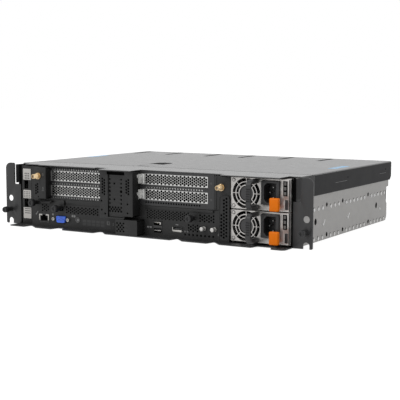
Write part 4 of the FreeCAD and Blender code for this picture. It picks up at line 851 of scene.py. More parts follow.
def centre_bracket():
    left, right, top, bottom = -59.3, -6.3, 85.9, 21.9
    leg_right, leg_bottom, back = -20.5, 26.0, FACE
    tray = (-46.0, -21.0, 24.0)
    outline = [
        (left, bottom, 0.6), (leg_right, bottom, 0.6), (leg_right, leg_bottom), (right, leg_bottom, 0.6),
        (right, top), (left, top),
    ]
    slot_low, slot_high, slot_out = 80.3, 84.7, 1.6
    opening = rounded([
        (tray[0], tray[2]), (tray[1], tray[2]), (tray[1], slot_low), (tray[1] + slot_out, slot_low, 0.4),
        (tray[1] + slot_out, slot_high, 0.4), (tray[0] - slot_out, slot_high, 0.4),
        (tray[0] - slot_out, slot_low, 0.4), (tray[0], slot_low),
    ])
    fields = ((-54.8, 74.6, 6), (-51.6, 72.8, 6), (-16.2, 72.8, 5), (-12.9, 74.6, 6))
    holes = [ring(x, highest - 3.75 * row, 1.45, 10) for x, highest, rows in fields for row in range(rows)]
    singles = ((-14.4, 42.4), (-14.5, 30.5), (-56.0, 33.0), (-50.6, 28.0), (-56.6, 45.0))
    holes += [ring(x, z, 1.3, 12) for x, z in singles]
    shade(-56.8, -49.6, 52.8, 76.8, BROW + 1.5)
    shade(-18.2, -11.0, 52.8, 76.8, BROW + 1.5)
    meshes = [plate(rounded(outline), holes + [opening], BROW, SHEET, 0.25)]
    front = BROW + 0.3
    sides = blocks(
        (left, left + SHEET, front, back, bottom, top, 0.2),
        (right - SHEET, right, front, back, leg_bottom, top, 0.2),
        (left, leg_right, front, back, bottom, bottom + SHEET, 0.2),
        (leg_right, right, front, back, leg_bottom, leg_bottom + SHEET, 0.2),
        (leg_right - SHEET, leg_right, front, back, bottom, leg_bottom + SHEET, 0.2),
        (left, right, BROW + 4.4, back, top - SHEET, top, 0.2),
    )
    recess = BROW + 4.0
    shade(tray[0] + 0.1, tray[1] - 0.1, tray[2] + 0.1, 80.0, BROW + 3.1)
    shade(tray[0] - 3.0, tray[1] + 3.0, 80.1, 85.3, BROW + 3.1)
    floor = tray[2] - SHEET
    meshes += blocks(
        (tray[0] - SHEET, tray[1] + SHEET, recess, recess + SHEET, floor, 80.8, 0.0),
        (tray[0] - SHEET, tray[0], front, recess + 0.2, floor, 80.6, 0.1),
        (tray[1], tray[1] + SHEET, front, recess + 0.2, floor, 80.6, 0.1),
        (tray[0], tray[1], front, recess + 0.2, floor, tray[2], 0.1),
    )
    painted("centre_bracket_box", meshes, panel, "centre_bracket")
    painted("centre_bracket_sides", sides, painted_shade_side_black)
    columns = (-43.9, -25.6)
    holes = [ring(x, 42.3 + 5.35 * step, 1.3, 10) for x in columns for step in (0, 1, 2, 4, 5, 6)]
    holes += [ring(x, 58.5, 1.9, 12) for x in columns] + [ring(-36.5, z, 1.4, 12) for z in (68.8, 47.6)]
    holes += brick_dots(-43.9, 31.9, 4.55, 2.6, 5, 3, 2.8)
    cover_plate = plate(rectangle(-45.7, -21.3, 24.3, 80.3, 0.5), holes, BROW + 1.6, SHEET, 0.2)
    painted("centre_tray_plate", cover_plate, panel, "centre_tray")


def blank_box():
    left, right, low, high = -34.0, 0.4, 1.5, 21.6
    holes = brick_dots(-31.4, 6.1, 5.15, 2.62, 3, 5, 2.6)
    shade(left + 1.3, right - 1.3, low + 1.4, high - 1.4, BROW + 1.5)
    front = plate(rectangle(left, right, low, high, 0.6), holes, BROW, SHEET, 0.25)
    painted("blank_box_lower", front, panel, "lower_blank_box")
    painted("blank_box_sides", shell_walls(left, right, BROW, low, high), painted_shade_side_black)


antenna_brackets()
centre_bracket()
blank_box()
# Painted shade: all the near-black sheets laid behind perforated fields and slot covers.
painted("painted_shade_sheets", shades, painted_shade_and_lamp_black)

# Connectors on the left and right panels


def jack():
    """A network jack: dark body with a bright folded corner at each side of its top, and eight contacts."""
    x, z, front = -168.4, 12.6, FACE - 0.4
    low, high = z - 6.6, z + 6.6
    floor, ceiling = low + 2.2, low + 9.4
    opening = [
        (x - 6, floor), (x + 6, floor), (x + 6, ceiling), (x + 3.2, ceiling), (x + 3.2, ceiling + 1.8),
        (x - 3.2, ceiling + 1.8), (x - 3.2, ceiling), (x - 6, ceiling),
    ]
    meshes = [plate(rectangle(x - 8.5, x + 8.5, low, high, 0.4), [opening], front, 1.0)]
    meshes.append(plate(rectangle(x - 8.5, x + 8.5, low, high), [opening], front + 1.0, 10.0))
    meshes.append(block((x - 8.5, front + 11.0, low), (x + 8.5, front + 15.0, high), 0.2))
    build("network_jack", meshes, dark_plastic, "nickel", "rj45_port")
    shells = []
    for side in (-1, 1):
        outer = x + side * 8.7
        leg, reach = outer - side * 1.7, outer - side * 5.6
        top, under, foot = high - 1.4, high - 3.0, low + 3.4
        corner = [(outer, top), (reach, top), (reach, under), (leg, under), (leg, foot), (outer, foot)]
        shells.append(plate(corner, [], front - 0.25, 0.35, 0.08))
    build("jack_shield", shells, dull_nickel, "nickel")
    pins = []
    for number in range(8):
        a = x - 4.2 + 1.15 * number
        pins.append(block((a, front + 4.0, floor + 0.1), (a + 0.5, front + 9.5, floor + 0.7), 0))
    build("jack_contacts", pins, painted_shade_nickel, "gold")


def d_outline(x, z, width, tall, taper, radius):
    half_w, half_t = width / 2, tall / 2
    return rounded([
        (x - half_w + taper, z - half_t, radius), (x + half_w - taper, z - half_t, radius),
        (x + half_w, z + half_t, radius), (x - half_w, z + half_t, radius),
    ], 5)


def display_d():
    """The blue fifteen-way socket, just proud of the panel, with its two hexagon posts."""
    x, z = -137.9, 12.4
    rows = [(x - 5.0 + 1.15 * (row % 2), z + 2.0 * (row - 1)) for row in range(3)]
    pins = [ring(a + 2.3 * n, b, 0.5, 8) for a, b in rows for n in range(5)]
    face = FACE - 2.4
    inside = d_outline(x, z, 14.4, 7.6, 1.1, 1.6)
    insert = plate(inside, pins, face + 0.4, 5.0)
    back = plate(inside, [], face + 5.0, 2.0)
    rim = plate(d_outline(x, z, 16.0, 9.2, 1.2, 2.2), [inside], face, 5.6, 0.25)
    build("display_socket_blue", [insert, back, rim], blue, "blue_plastic", "vga_port")
    posts = []
    for side in (-1, 1):
        a = x + side * 12.7
        posts.append(plate(hexagon(a, z, 4.6, 0.3), [ring(a, z, 1.3, 16)], FACE - 3.0, 3.0, 0.3))
        posts.append(lathe(a, z, [(FACE - 1.6, 0), (FACE - 1.6, 1.29), (FACE, 1.29)], 16))
    build("display_socket_posts", posts, dull_nickel, "nickel", "vga_screws")


def stacked_sockets():
    """Two sockets one above the other: a shell darkened as painted shade, dark mouths with painted highlight strips
    across them, and a pale tongue in each.
    """
    x, front = 22.0, FACE - 0.4
    levels = (9.0, 18.6)
    openings = [rectangle(x - 6.3, x + 6.3, z - 3.4, z + 2.4, 0.7) for z in levels]
    shell = [plate(rectangle(x - 7.2, x + 7.2, 5.3, 21.8, 0.8), openings, front, 0.7, 0.15)]
    shell.append(plate(rectangle(x - 7.0, x + 7.0, 5.4, 21.7), openings, front + 0.7, 11.3))
    shell += blocks((x - 7.0, x + 7.0, front + 12.0, front + 16.0, 5.4, 21.7, 0.2))
    build("stacked_socket_shell", shell, painted_shade_nickel, "nickel", "usb_ports")
    tongues = blocks(*[(x - 5.4, x + 5.4, front + 0.9, front + 12, z - 0.5, z + 0.9) for z in levels])
    build("socket_tongues", tongues, dark_plastic, "black_plastic")
    # Painted highlights: bright nickel strips in the mouths for their lit edges.
    edges = [(x - 5.8, x + 4.9, front - 0.15, front + 0.3, z, z + 0.8, 0.1) for z in (19.0, 8.2)]
    edges.append((x + 3.0, x + 4.9, front - 0.15, front + 0.3, 16.6, 19.0, 0.1))
    build("socket_edge_highlights", blocks(*edges), dull_nickel, "nickel")
    starts = [x - 4.6 + 2.5 * number for number in range(4)]
    pads = blocks(*[(a, a + 1.4, front + 1.6, front + 10, z - 0.66, z - 0.5, 0) for z in levels for a in starts])
    build("socket_contacts", pads, brass_pin, "gold")


def flat_display():
    """A flat keyed display connector: a shell darkened as painted shade, and a dark mouth over a lower lip painted
    bright as a highlight.
    """
    x, z, front = 53.2, 12.4, FACE - 0.4
    opening = [(x - 7.8, z - 1.6), (x + 6.4, z - 1.6), (x + 7.8, z - 0.4), (x + 7.8, z + 2.6), (x - 7.8, z + 2.6)]
    shell = [plate(rectangle(x - 8.6, x + 8.6, z - 3.3, z + 3.3, 0.5), [opening], front, 10.0, 0.15)]
    shell.append(block((x - 8.6, front + 9.9, z - 3.3), (x + 8.6, front + 14, z + 3.3), 0.2))
    build("flat_display_shell", shell, painted_shade_nickel, "nickel", "display_port")
    tongue = [block((x - 6.5, front + 1.0, z - 0.3), (x + 6.5, front + 10, z + 1.4), 0.3)]
    tongue.append(plate([(a, b + 0.05) for a, b in opening], [], front + 9.0, 0.8))
    build("flat_display_tongue", tongue, dark_plastic, "black_plastic")
    # Painted highlight: the lower lip and left edge in brighter nickel than the shell.
    lip = [block((x - 8.0, front - 0.2, z - 3.6), (x + 5.5, front + 0.4, z - 0.9), 0.2)]
    lip.append(block((x - 8.6, front - 0.2, z - 3.0), (x - 7.6, front + 0.4, z + 2.4), 0.2))
    build("flat_display_lip_highlight", lip, dull_nickel, "nickel")


def power_button():
    """A round button flush with the panel: a paler ring, a dark middle and a small generic mark."""
    x, z, front = -109.4, 13.4, FACE - 0.4
    profile = [(front + 0.5, 0), (front + 0.45, 2.4), (front + 0.1, 2.9), (front, 3.2), (front + 0.12, 3.7)]
    cap = lathe(x, z, profile + [(front + 0.5, 3.95), (-3.5, 3.95)], 40)
    keeper = lathe(x, z, [(-3.5, 0), (-3.5, 5.0), (-2.3, 5.0), (-2.3, 0)], 32)
    build("button_cap", [cap, keeper], dark_plastic, "black_plastic", "power_button", body="power_button")
    rim = plate(ring(x, z, 3.9, 40), [ring(x, z, 2.7, 32)], front - 0.04, 0.3)
    build("button_rim", rim, print_dim, "black_plastic", body="power_button")
    sweep = [math.radians(angle) for angle in range(-235, 56, 10)]
    arc = [polar(x, z, 1.6, angle) for angle in sweep] + [polar(x, z, 1.15, angle) for angle in reversed(sweep)]
    mark = [plate(arc, [], front + 0.3, 0.2)]
    mark.append(plate(rectangle(x - 0.22, x + 0.22, z + 0.3, z + 1.9), [], front + 0.3, 0.2))
    build("button_mark", mark, mark_white, "black_plastic", body="power_button")


def threaded(x, z, front, back, radius, pitch):
    """A turned barrel with a fine thread cut in it."""
    profile = [(front, 0), (front, radius - 0.3)]
    y = front + 0.2
    while y < back - pitch:
        profile += [(y, radius), (y + pitch / 2, radius - 0.28)]
        y += pitch
    profile += [(back, radius), (back, 0)]
    return lathe(x, z, profile, 28)


def jack_barrel(name, x, z, face, back, node):
    """A gold bulkhead jack: broad washer, hexagon nut, threaded barrel, bore and centre contact."""
    front = face - 11.0
    profile = [(front + 5.0, 0), (front + 5.0, 2.25), (front, 2.25), (front, 2.8)]
    y = front + 0.4
    while y < face - 3.4:
        profile += [(y, 3.1), (y + 0.35, 2.82)]
        y += 0.7
    profile += [(face - 3.2, 3.05), (back, 3.05), (back, 0)]
    meshes = [lathe(x, z, profile, 32), plate(hexagon(x, z, 7.6, 0.25), [ring(x, z, 2.9, 24)], face - 3.0, 2.6, 0.3)]
    meshes.append(lathe(x, z, [(face - 0.6, 2.9), (face - 0.6, 4.5), (face - 0.02, 4.5), (face - 0.02, 2.9)], 32))
    build(name, meshes, gold, "gold", node)
    core = [lathe(x, z, [(front + 2.6, 0), (front + 2.6, 2.24), (front + 4.9, 2.24), (front + 4.9, 0)], 24)]
    build(name + "_insulator", core, paper, "gold")


def studs():
    """Two earthing studs, each a short threaded post with its hexagon nut at the free end."""
    meshes = []
    for x in (92.4, 107.9):
        z, face = 16.3, FACE
        meshes.append(threaded(x, z, face - 8.2, face, 2.3, 0.9))
        meshes.append(plate(hexagon(x, z, 5.4, 0.2), [ring(x, z, 2.1, 20)], face - 7.4, 4.4, 0.5))
        meshes.append(lathe(x, z, [(face - 0.7, 0), (face - 0.7, 2.8), (face, 2.8)], 28))
    build("earth_studs", meshes, stud_nickel, "nickel", "ground_studs")


jack()
display_d()
stacked_sockets()
flat_display()
power_button()
jack_barrel("coaxial_jack_left", -169.5, 72.3, -16.0, -11.0, "sma_left")
jack_barrel("coaxial_jack_right", 117.3, 70.4, FACE - 0.4, 0.0, "sma_right")
studs()

# Thumbscrews


def knurl(x, z, radius):
    """A scalloped round outline for a knob's grip."""
    teeth = 30
    points = []
    for index in range(teeth * 4):
        angle = 2 * math.pi * index / (teeth * 4)
        reach = radius - 0.16 + 0.16 * math.cos(teeth * angle)
        points.append(polar(x, z, reach, angle))
    return points


def cross(x, z, reach, half):
    points = []
    quarter = [(-half, -reach), (half, -reach), (half, -half)]
    for _ in range(4):
        points += [(x + a, z + b) for a, b in quarter]
        quarter = [(-b, a) for a, b in quarter]
    return points


def thumbscrew(name, x, z, front, radius, seat, rear, body, node):
    meshes = [plate(knurl(x, z, radius), [], front + 1.0, 6.0, 0.25)]
    head = [cross(x, z, radius * 0.5, radius * 0.12)]
    meshes.append(plate(ring(x, z, radius * 0.86, 40), head, front, 1.05, 0.2))
    shank = [
        (front + 6.9, 0), (front + 6.9, 3.1), (seat - 1.3, 3.1), (seat - 1.1, 3.3), (seat - 0.3, 3.3),
        (seat - 0.3, 2.4), (rear - 0.8, 2.4), (rear, 1.7), (rear, 0),
    ]
    meshes.append(lathe(x, z, shank, 24))
    build(name, meshes, screw_black, "black_screw", node, body=body)


for side, name in ((-1, "left"), (1, "right")):
    body, node = f"ear_screw_{name}", f"ear_thumbscrew_{name}"
    thumbscrew(f"knob_ear_{name}", side * HOLE_X, 21.0, -16.0, 4.3, 0.0, 8.0, body, node)
for name, x, z in (("left_outer", -179.6, 34.4), ("left_inner", -138.9, 28.5), ("right", 77.1, 29.1)):
    thumbscrew(f"knob_{name}", x, z, -21.5, 5.0, FACE, 4.0, f"module_screw_{name}", f"thumbscrew_{name}")

# Power supplies

PSU_LEFT, PSU_RIGHT = 131.0, 212.5
PSU_BASE = 4.0
PSU_PITCH = 41.1
PSU_TALL = 39.5
PSU_REAR = 180.0
FAN_X = 152.7
INLET_X = 186.8
GUARD_WIRE = 0.9


def spoke_slots(z, inner, outer):
    """The openings between a guard's rings, with spokes of even width between them."""
    count = 8
    slots = []
    for index in range(count):
        middle = 2 * math.pi * (index + 0.5) / count
        points = []
        for radius, order in ((outer, 1), (inner, -1)):
            half = math.pi / count - GUARD_WIRE / 2 / radius
            points += [polar(FAN_X, z, radius, middle - half + 2 * half * step / 8) for step in range(9)][::order]
        slots.append(points)
    return slots


def blades(x, z, front, depth, hub, tip, sweep, thickness):
    """Curved fan blades: each section slides round the hub as it runs back, and leans as it goes out."""
    bm = bmesh.new()
    count, rows, columns = 7, 6, 8
    for number in range(count):
        base = 2 * math.pi * number / count
        grids = []
        for offset in (0.0, thickness):
            grid = []
            for row in range(rows + 1):
                radius = hub + (tip - hub) * row / rows
                lean = 0.25 * (row / rows) ** 2
                line = []
                for column in range(columns + 1):
                    share = column / columns
                    angle = base + sweep * share * (hub / radius) ** 0.5 + lean + offset / radius
                    y = front + depth * (0.08 + 0.84 * share)
                    line.append(bm.verts.new((x + radius * math.cos(angle), y, z + radius * math.sin(angle))))
                grid.append(line)
            grids.append(grid)
        first, second = grids
        for row in range(rows):
            for column in range(columns):
                for grid in grids:
                    near, far = grid[row], grid[row + 1]
                    bm.faces.new((near[column], far[column], far[column + 1], near[column + 1]))
            for column in (0, columns):
                ends = (first[row][column], second[row][column], second[row + 1][column], first[row + 1][column])
                bm.faces.new(ends)
        for column in range(columns):
            for row in (0, rows):
                near, far = first[row], second[row]
                bm.faces.new((near[column], near[column + 1], far[column + 1], far[column]))
    return finished(bm)


def supply(index):
    number = index + 1
    left, right = PSU_LEFT, PSU_RIGHT
    base = PSU_BASE + index * PSU_PITCH
    top = base + PSU_TALL
    middle = base + PSU_TALL / 2
    corners = [(left + 4.2, base + 3.8), (left + 4.2, top - 3.4)]

    def part(name, meshes, material, slot, *nodes, rides=""):
        build(f"{name}_{number}", meshes, material, slot, *nodes, body=f"psu_{number}{rides}")

    inlet_low, inlet_high = base + 7.4, base + 36.9
    inlet_mid = (inlet_low + inlet_high) / 2
    holes = [ring(FAN_X, middle, 19.5, 64)]
    holes.append(rectangle(INLET_X - 12.5, INLET_X + 12.5, inlet_low - 0.25, inlet_high + 0.25, 0.4))
    holes.append(rectangle(206.0, 210.4, base + 2.5, base + 14.5, 0.4))
    holes += [ring(x, z, 1.0, 12) for x, z in corners]
    deck = rectangle(left + 0.5, right - 0.5, FACE + 0.6, PSU_REAR - 0.3)
    rear = rectangle(left + 0.5, right - 0.5, base + 0.5, top - 0.5)
    meshes = [
        plate(rectangle(left, right, base, top, 0.8), holes, FACE, 1.0, 0.2),
        flat_plate(deck, honeycomb(left + 8, right - 8, 120, 172, 5.0, 3.6), top - 1.0, 1.0),
        flat_plate(deck, [], base, 1.0),
        plate(rear, honeycomb(left + 6, right - 6, base + 13, top - 3, 4.4, 3.4), PSU_REAR - 1.0, 1.0),
    ]
    meshes += blocks(
        (left, left + 1.0, FACE + 0.3, PSU_REAR, base, top, 0.25),
        (right - 1.0, right, FACE + 0.3, PSU_REAR, base, top, 0.25),
        (INLET_X + 13.4, INLET_X + 14.2, FACE - 0.35, FACE + 0.1, base + 17.5, top - 2.0, 0.15),
        (left + 0.2, left + 40.0, FACE - 0.4, FACE + 0.1, base + 0.3, base + 1.1, 0.15),
    )
    part("supply_case", meshes, supply_steel, "supply_steel", f"psu_{number}_case")

    board_low, board_high = base + 6.0, base + 7.6
    board = blocks(
        (left + 14, right - 14, PSU_REAR - 0.5, PSU_REAR + 8.0, board_low, board_high, 0.15),
        (left + 6, right - 6, 20.0, PSU_REAR - 1.2, board_low, board_high, 0.0),
    )
    part("supply_board", board, mask_green, "circuit_board")
    fingers = blocks(*[
        (x, x + 1.7, PSU_REAR + 0.6, PSU_REAR + 7.6, board_low + side, board_low + side + 0.1, 0)
        for x in (left + 15 + 2.6 * n for n in range(20)) for side in (-0.08, 1.58)
    ])
    part("supply_fingers", fingers, gold, "gold")
    motor = [lathe(FAN_X, middle, [(11.6, 0), (11.6, 9.0), (13.4, 9.0), (13.4, 0)], 32)]
    for n in range(3):
        strut = block((FAN_X - 1.2, 11.8, middle + 4), (FAN_X + 1.2, 13.4, middle + 18.4), 0.2)
        motor.append(turned(strut, 120 * n + 60, (FAN_X, 0, middle)))
    part("supply_fan_strut", motor, rotor_plastic, "black_plastic")

    slots = spoke_slots(middle, 10.9, 14.0) + spoke_slots(middle, 15.3, 19.2)
    guard = plate(ring(FAN_X, middle, 19.55, 64), [ring(FAN_X, middle, 9.6, 48)] + slots, FACE, 1.1, 0.15)
    part("finger_guard", guard, supply_steel, "supply_steel", f"psu_{number}_guard")
    # Painted shade: a near-black strip down the supply's right edge for the dark gap beside it.
    edge = blocks((right - 1.2, right - 0.05, FACE - 0.15, FACE + 0.1, base + 0.4, top - 0.4, 0.1))
    part("supply_edge_shade", edge, painted_shade_side_black, "supply_steel")
    head = [(FACE - 0.9, 0), (FACE - 0.9, 0.7), (FACE - 0.75, 1.5), (FACE - 0.2, 1.9), (FACE, 1.9)]
    part("corner_screws", [lathe(x, z, head, 24) for x, z in corners], supply_steel, "nickel")
    seats = [plate(ring(x, z, 2.5, 24), [ring(x, z, 1.9, 24)], FACE - 0.06, 0.06) for x, z in corners]
    part("corner_seats", seats, print_dim, "nickel")
    grip = [softened(f"psu_{number}_handle", 0.9, 3)]
    grip += blocks(*[(164.4, 170.8, -29.0, -28.55, z, z + 1.2, 0.2) for z in range(int(base) + 12, int(top) - 10, 3)])
    feet = ((1.0, 7.2), (33.4, 38.8))
    grip += [block((163.9, -26.6, base + low), (171.6, FACE, base + high), 2.3, 4) for low, high in feet]
    part("pull_handle", grip, dark_plastic, "black_plastic", f"psu_{number}_handle")

    front = FACE - 3.0
    cut, half_w, half_t = 4.0, 8.2, 12.2
    recess = rounded([
        (INLET_X - half_w + cut, inlet_mid - half_t, 0.8), (INLET_X + half_w, inlet_mid - half_t, 1.0),
        (INLET_X + half_w, inlet_mid + half_t, 1.0), (INLET_X - half_w + cut, inlet_mid + half_t, 0.8),
        (INLET_X - half_w, inlet_mid + half_t - cut, 0.8), (INLET_X - half_w, inlet_mid - half_t + cut, 0.8),
    ])
    outer = rectangle(INLET_X - 12.25, INLET_X + 12.25, inlet_low, inlet_high, 0.9)
    inlet = [plate(outer, [recess], front, 17.0, 0.3), plate(outer, [], front + 16.8, 3.2)]
    part("mains_inlet", inlet, dark_plastic, "black_plastic", f"psu_{number}_inlet")
    pins = blocks(*[
        (INLET_X + dx, INLET_X + dx + 1.6, front + 6.6, front + 17.0, inlet_mid + dz, inlet_mid + dz + 1.4)
        for dx, dz in ((-4.2, -0.7), (0.6, 5.7), (0.6, -7.1))
    ])
    part("inlet_pins", pins, painted_shade_pin_nickel, "nickel")

    strip = blocks((203.6, 209.2, FACE - 0.6, FACE + 0.1, base + 19.1, base + 37.4, 0.2))
    part("lamp_strip", strip, painted_shade_and_lamp_black, "black_plastic")
    lows = [base + low for low in (20.2, 26.3, 32.4)]
    windows = [(204.8, 207.9, FACE - 0.75, FACE - 0.5, low, low + 4.0, 0.1) for low in lows]
    part("lamp_windows", blocks(*windows), lamp_grey, "black_plastic")
    dark = blocks((205.8, 210.6, FACE + 0.4, FACE + 3.0, base + 2.3, base + 14.7, 0.2))
    part("side_socket", dark, dark_plastic, "black_plastic")

    pad_low = base + 1.0
    release = [block((191.6, -20.0, pad_low), (203.7, -13.0, pad_low + 16.4), 1.5, 3)]
    release += blocks((194.0, 199.6, -14.0, FACE - 0.1, pad_low + 2.0, base + 7.0, 0.4))
    part("orange_release", release, orange, "orange_plastic", f"psu_{number}_release", rides="_latch")
    front, depth = FACE + 2.2, 13.8
    wheel = blades(FAN_X, middle, front, depth, 9.2, 17.0, 0.9, 0.9)
    part("supply_fan", wheel, rotor_plastic, "black_plastic", f"psu_{number}_rotor", rides="_fan")
    cap = [(front - 0.6, 0), (front - 0.6, 8.9), (front, 9.3), (front + depth, 9.35), (front + depth, 0)]
    part("supply_fan_hub", lathe(FAN_X, middle, cap, 48), fan_plastic, "black_plastic", rides="_fan")


supply(0)
supply(1)

# System fans


def system_fans():
    half, corner = 32.0, (-27, 27)
    frames = []
    for index in range(FANS):
        x = (index - 2.5) * FAN_PITCH
        outline = rectangle(x - half, x + half, 1.2, 85.65, 1.5)
        bore = ring(x, FAN_Z, 28.5, 48)
        screws = [ring(x + a, FAN_Z + b, 2.1, 12) for a in corner for b in corner]
        frames += [plate(outline, [bore] + screws, at, 3.0, 0.3) for at in (278.8, 313.8)]
        frames.append(plate(rectangle(x - half + 0.8, x + half - 0.8, 1.4, 85.4, 2.0), [bore], 281.8, 32.0))
        frames.append(lathe(x, FAN_Z, [(313.9, 0), (313.9, 14.0), (316.8, 14.0), (316.8, 0)], 40))
        for n in range(4):
            strut = block((x - 1.4, 314.2, FAN_Z + 12), (x + 1.4, 316.6, FAN_Z + 29.0), 0.2)
            frames.append(turned(strut, 90 * n + 20, (x, 0, FAN_Z)))
    build("fan_module_frames", frames, dark_plastic, "black_plastic", "fan_frames")
    front, depth = 280.8, 32.6
    profile = [(0.3, 0), (0.2, 12.0), (1.2, 14.4), (2.4, 14.9), (depth, 14.9), (depth, 0)]
    for index in range(FANS):
        number = index + 1
        x = (index - 2.5) * FAN_PITCH
        cap = lathe(x, FAN_Z, [(front + y, radius) for y, radius in profile], 48)
        wheel = blades(x, FAN_Z, front, depth, 14.8, 27.3, 1.0, 1.3)
        meshes, rotor = [cap, wheel], f"fan_rotor_{number}"
        build(f"fan_wheel_{number}", meshes, fan_plastic, "black_plastic", rotor, body=f"fan_{number}")


system_fans()

# Top cover

LID_TOP = 87.25
LID_UNDER = 86.25
LID_REAR = 333.0
LID_OUT = 219.2
LID_SHEET = 1.0
LID_FOLD = 1.5
LATCH_X = -42.0
PRINT = 0.12
PRICKS = ((162.7, 75.8), (308.0, 76.8))
FLANGE_FRONT = 54.3
CREASE = 44.0
CHANNELS = (-205.0, -143.0, -70.0, -8.0, 61.0, 126.0)


def fold_section(side):
    """The quarter-round of a folded edge, seen along the fold."""
    steps = 6
    centre = LID_OUT - LID_FOLD
    height = LID_TOP - LID_FOLD
    outline = []
    for radius, order in ((LID_FOLD, 1), (LID_FOLD - LID_SHEET, -1)):
        angles = [math.pi / 2 * step / steps for step in range(steps + 1)][::order]
        outline += [(side * (centre + radius * math.cos(a)), height + radius * math.sin(a)) for a in angles]
    return outline


def latch_hole():
    """The latch's opening: narrow where the lever turns, full width behind that, its rear end drawn in."""
    neck, half, front, shoulder, rear, end = 9.6, 12.5, 56.0, 66.5, 121.0, 7.0
    side = [(neck, front), (neck, shoulder), (half, shoulder), (half, rear - end), (half - end, rear)]
    return [(LATCH_X + a, y) for a, y in side] + [(LATCH_X - a, y) for a, y in reversed(side)]


def latch_lever():
    """The lever, flush with the cover: the frame's own blade drawn back from the finger gap, and a wider skin."""
    blade = softened("cover_latch_lever", 0.4)
    for vertex in blade.vertices:
        if vertex.co.y > 90:
            vertex.co.y -= 15.5
        if vertex.co.z > 86.2:
            vertex.co.z -= 1.0
    build("latch_blade", blade, panel, "black_plastic", "cover_latch_lever", body="cover_latch")
    end = 90.0
    side = [(9.2, 58.8), (9.2, 66.9), (12.0, 66.9), (12.0, end - 3, 2.5), (5.0, end, 4.0)]
    skin = [(LATCH_X + a, *rest) for a, *rest in side] + [(LATCH_X - a, *rest) for a, *rest in reversed(side)]
    build("latch_skin", flat_plate(rounded(skin, 5), [], 86.3, 0.95), lid_black, "black_plastic", body="cover_latch")


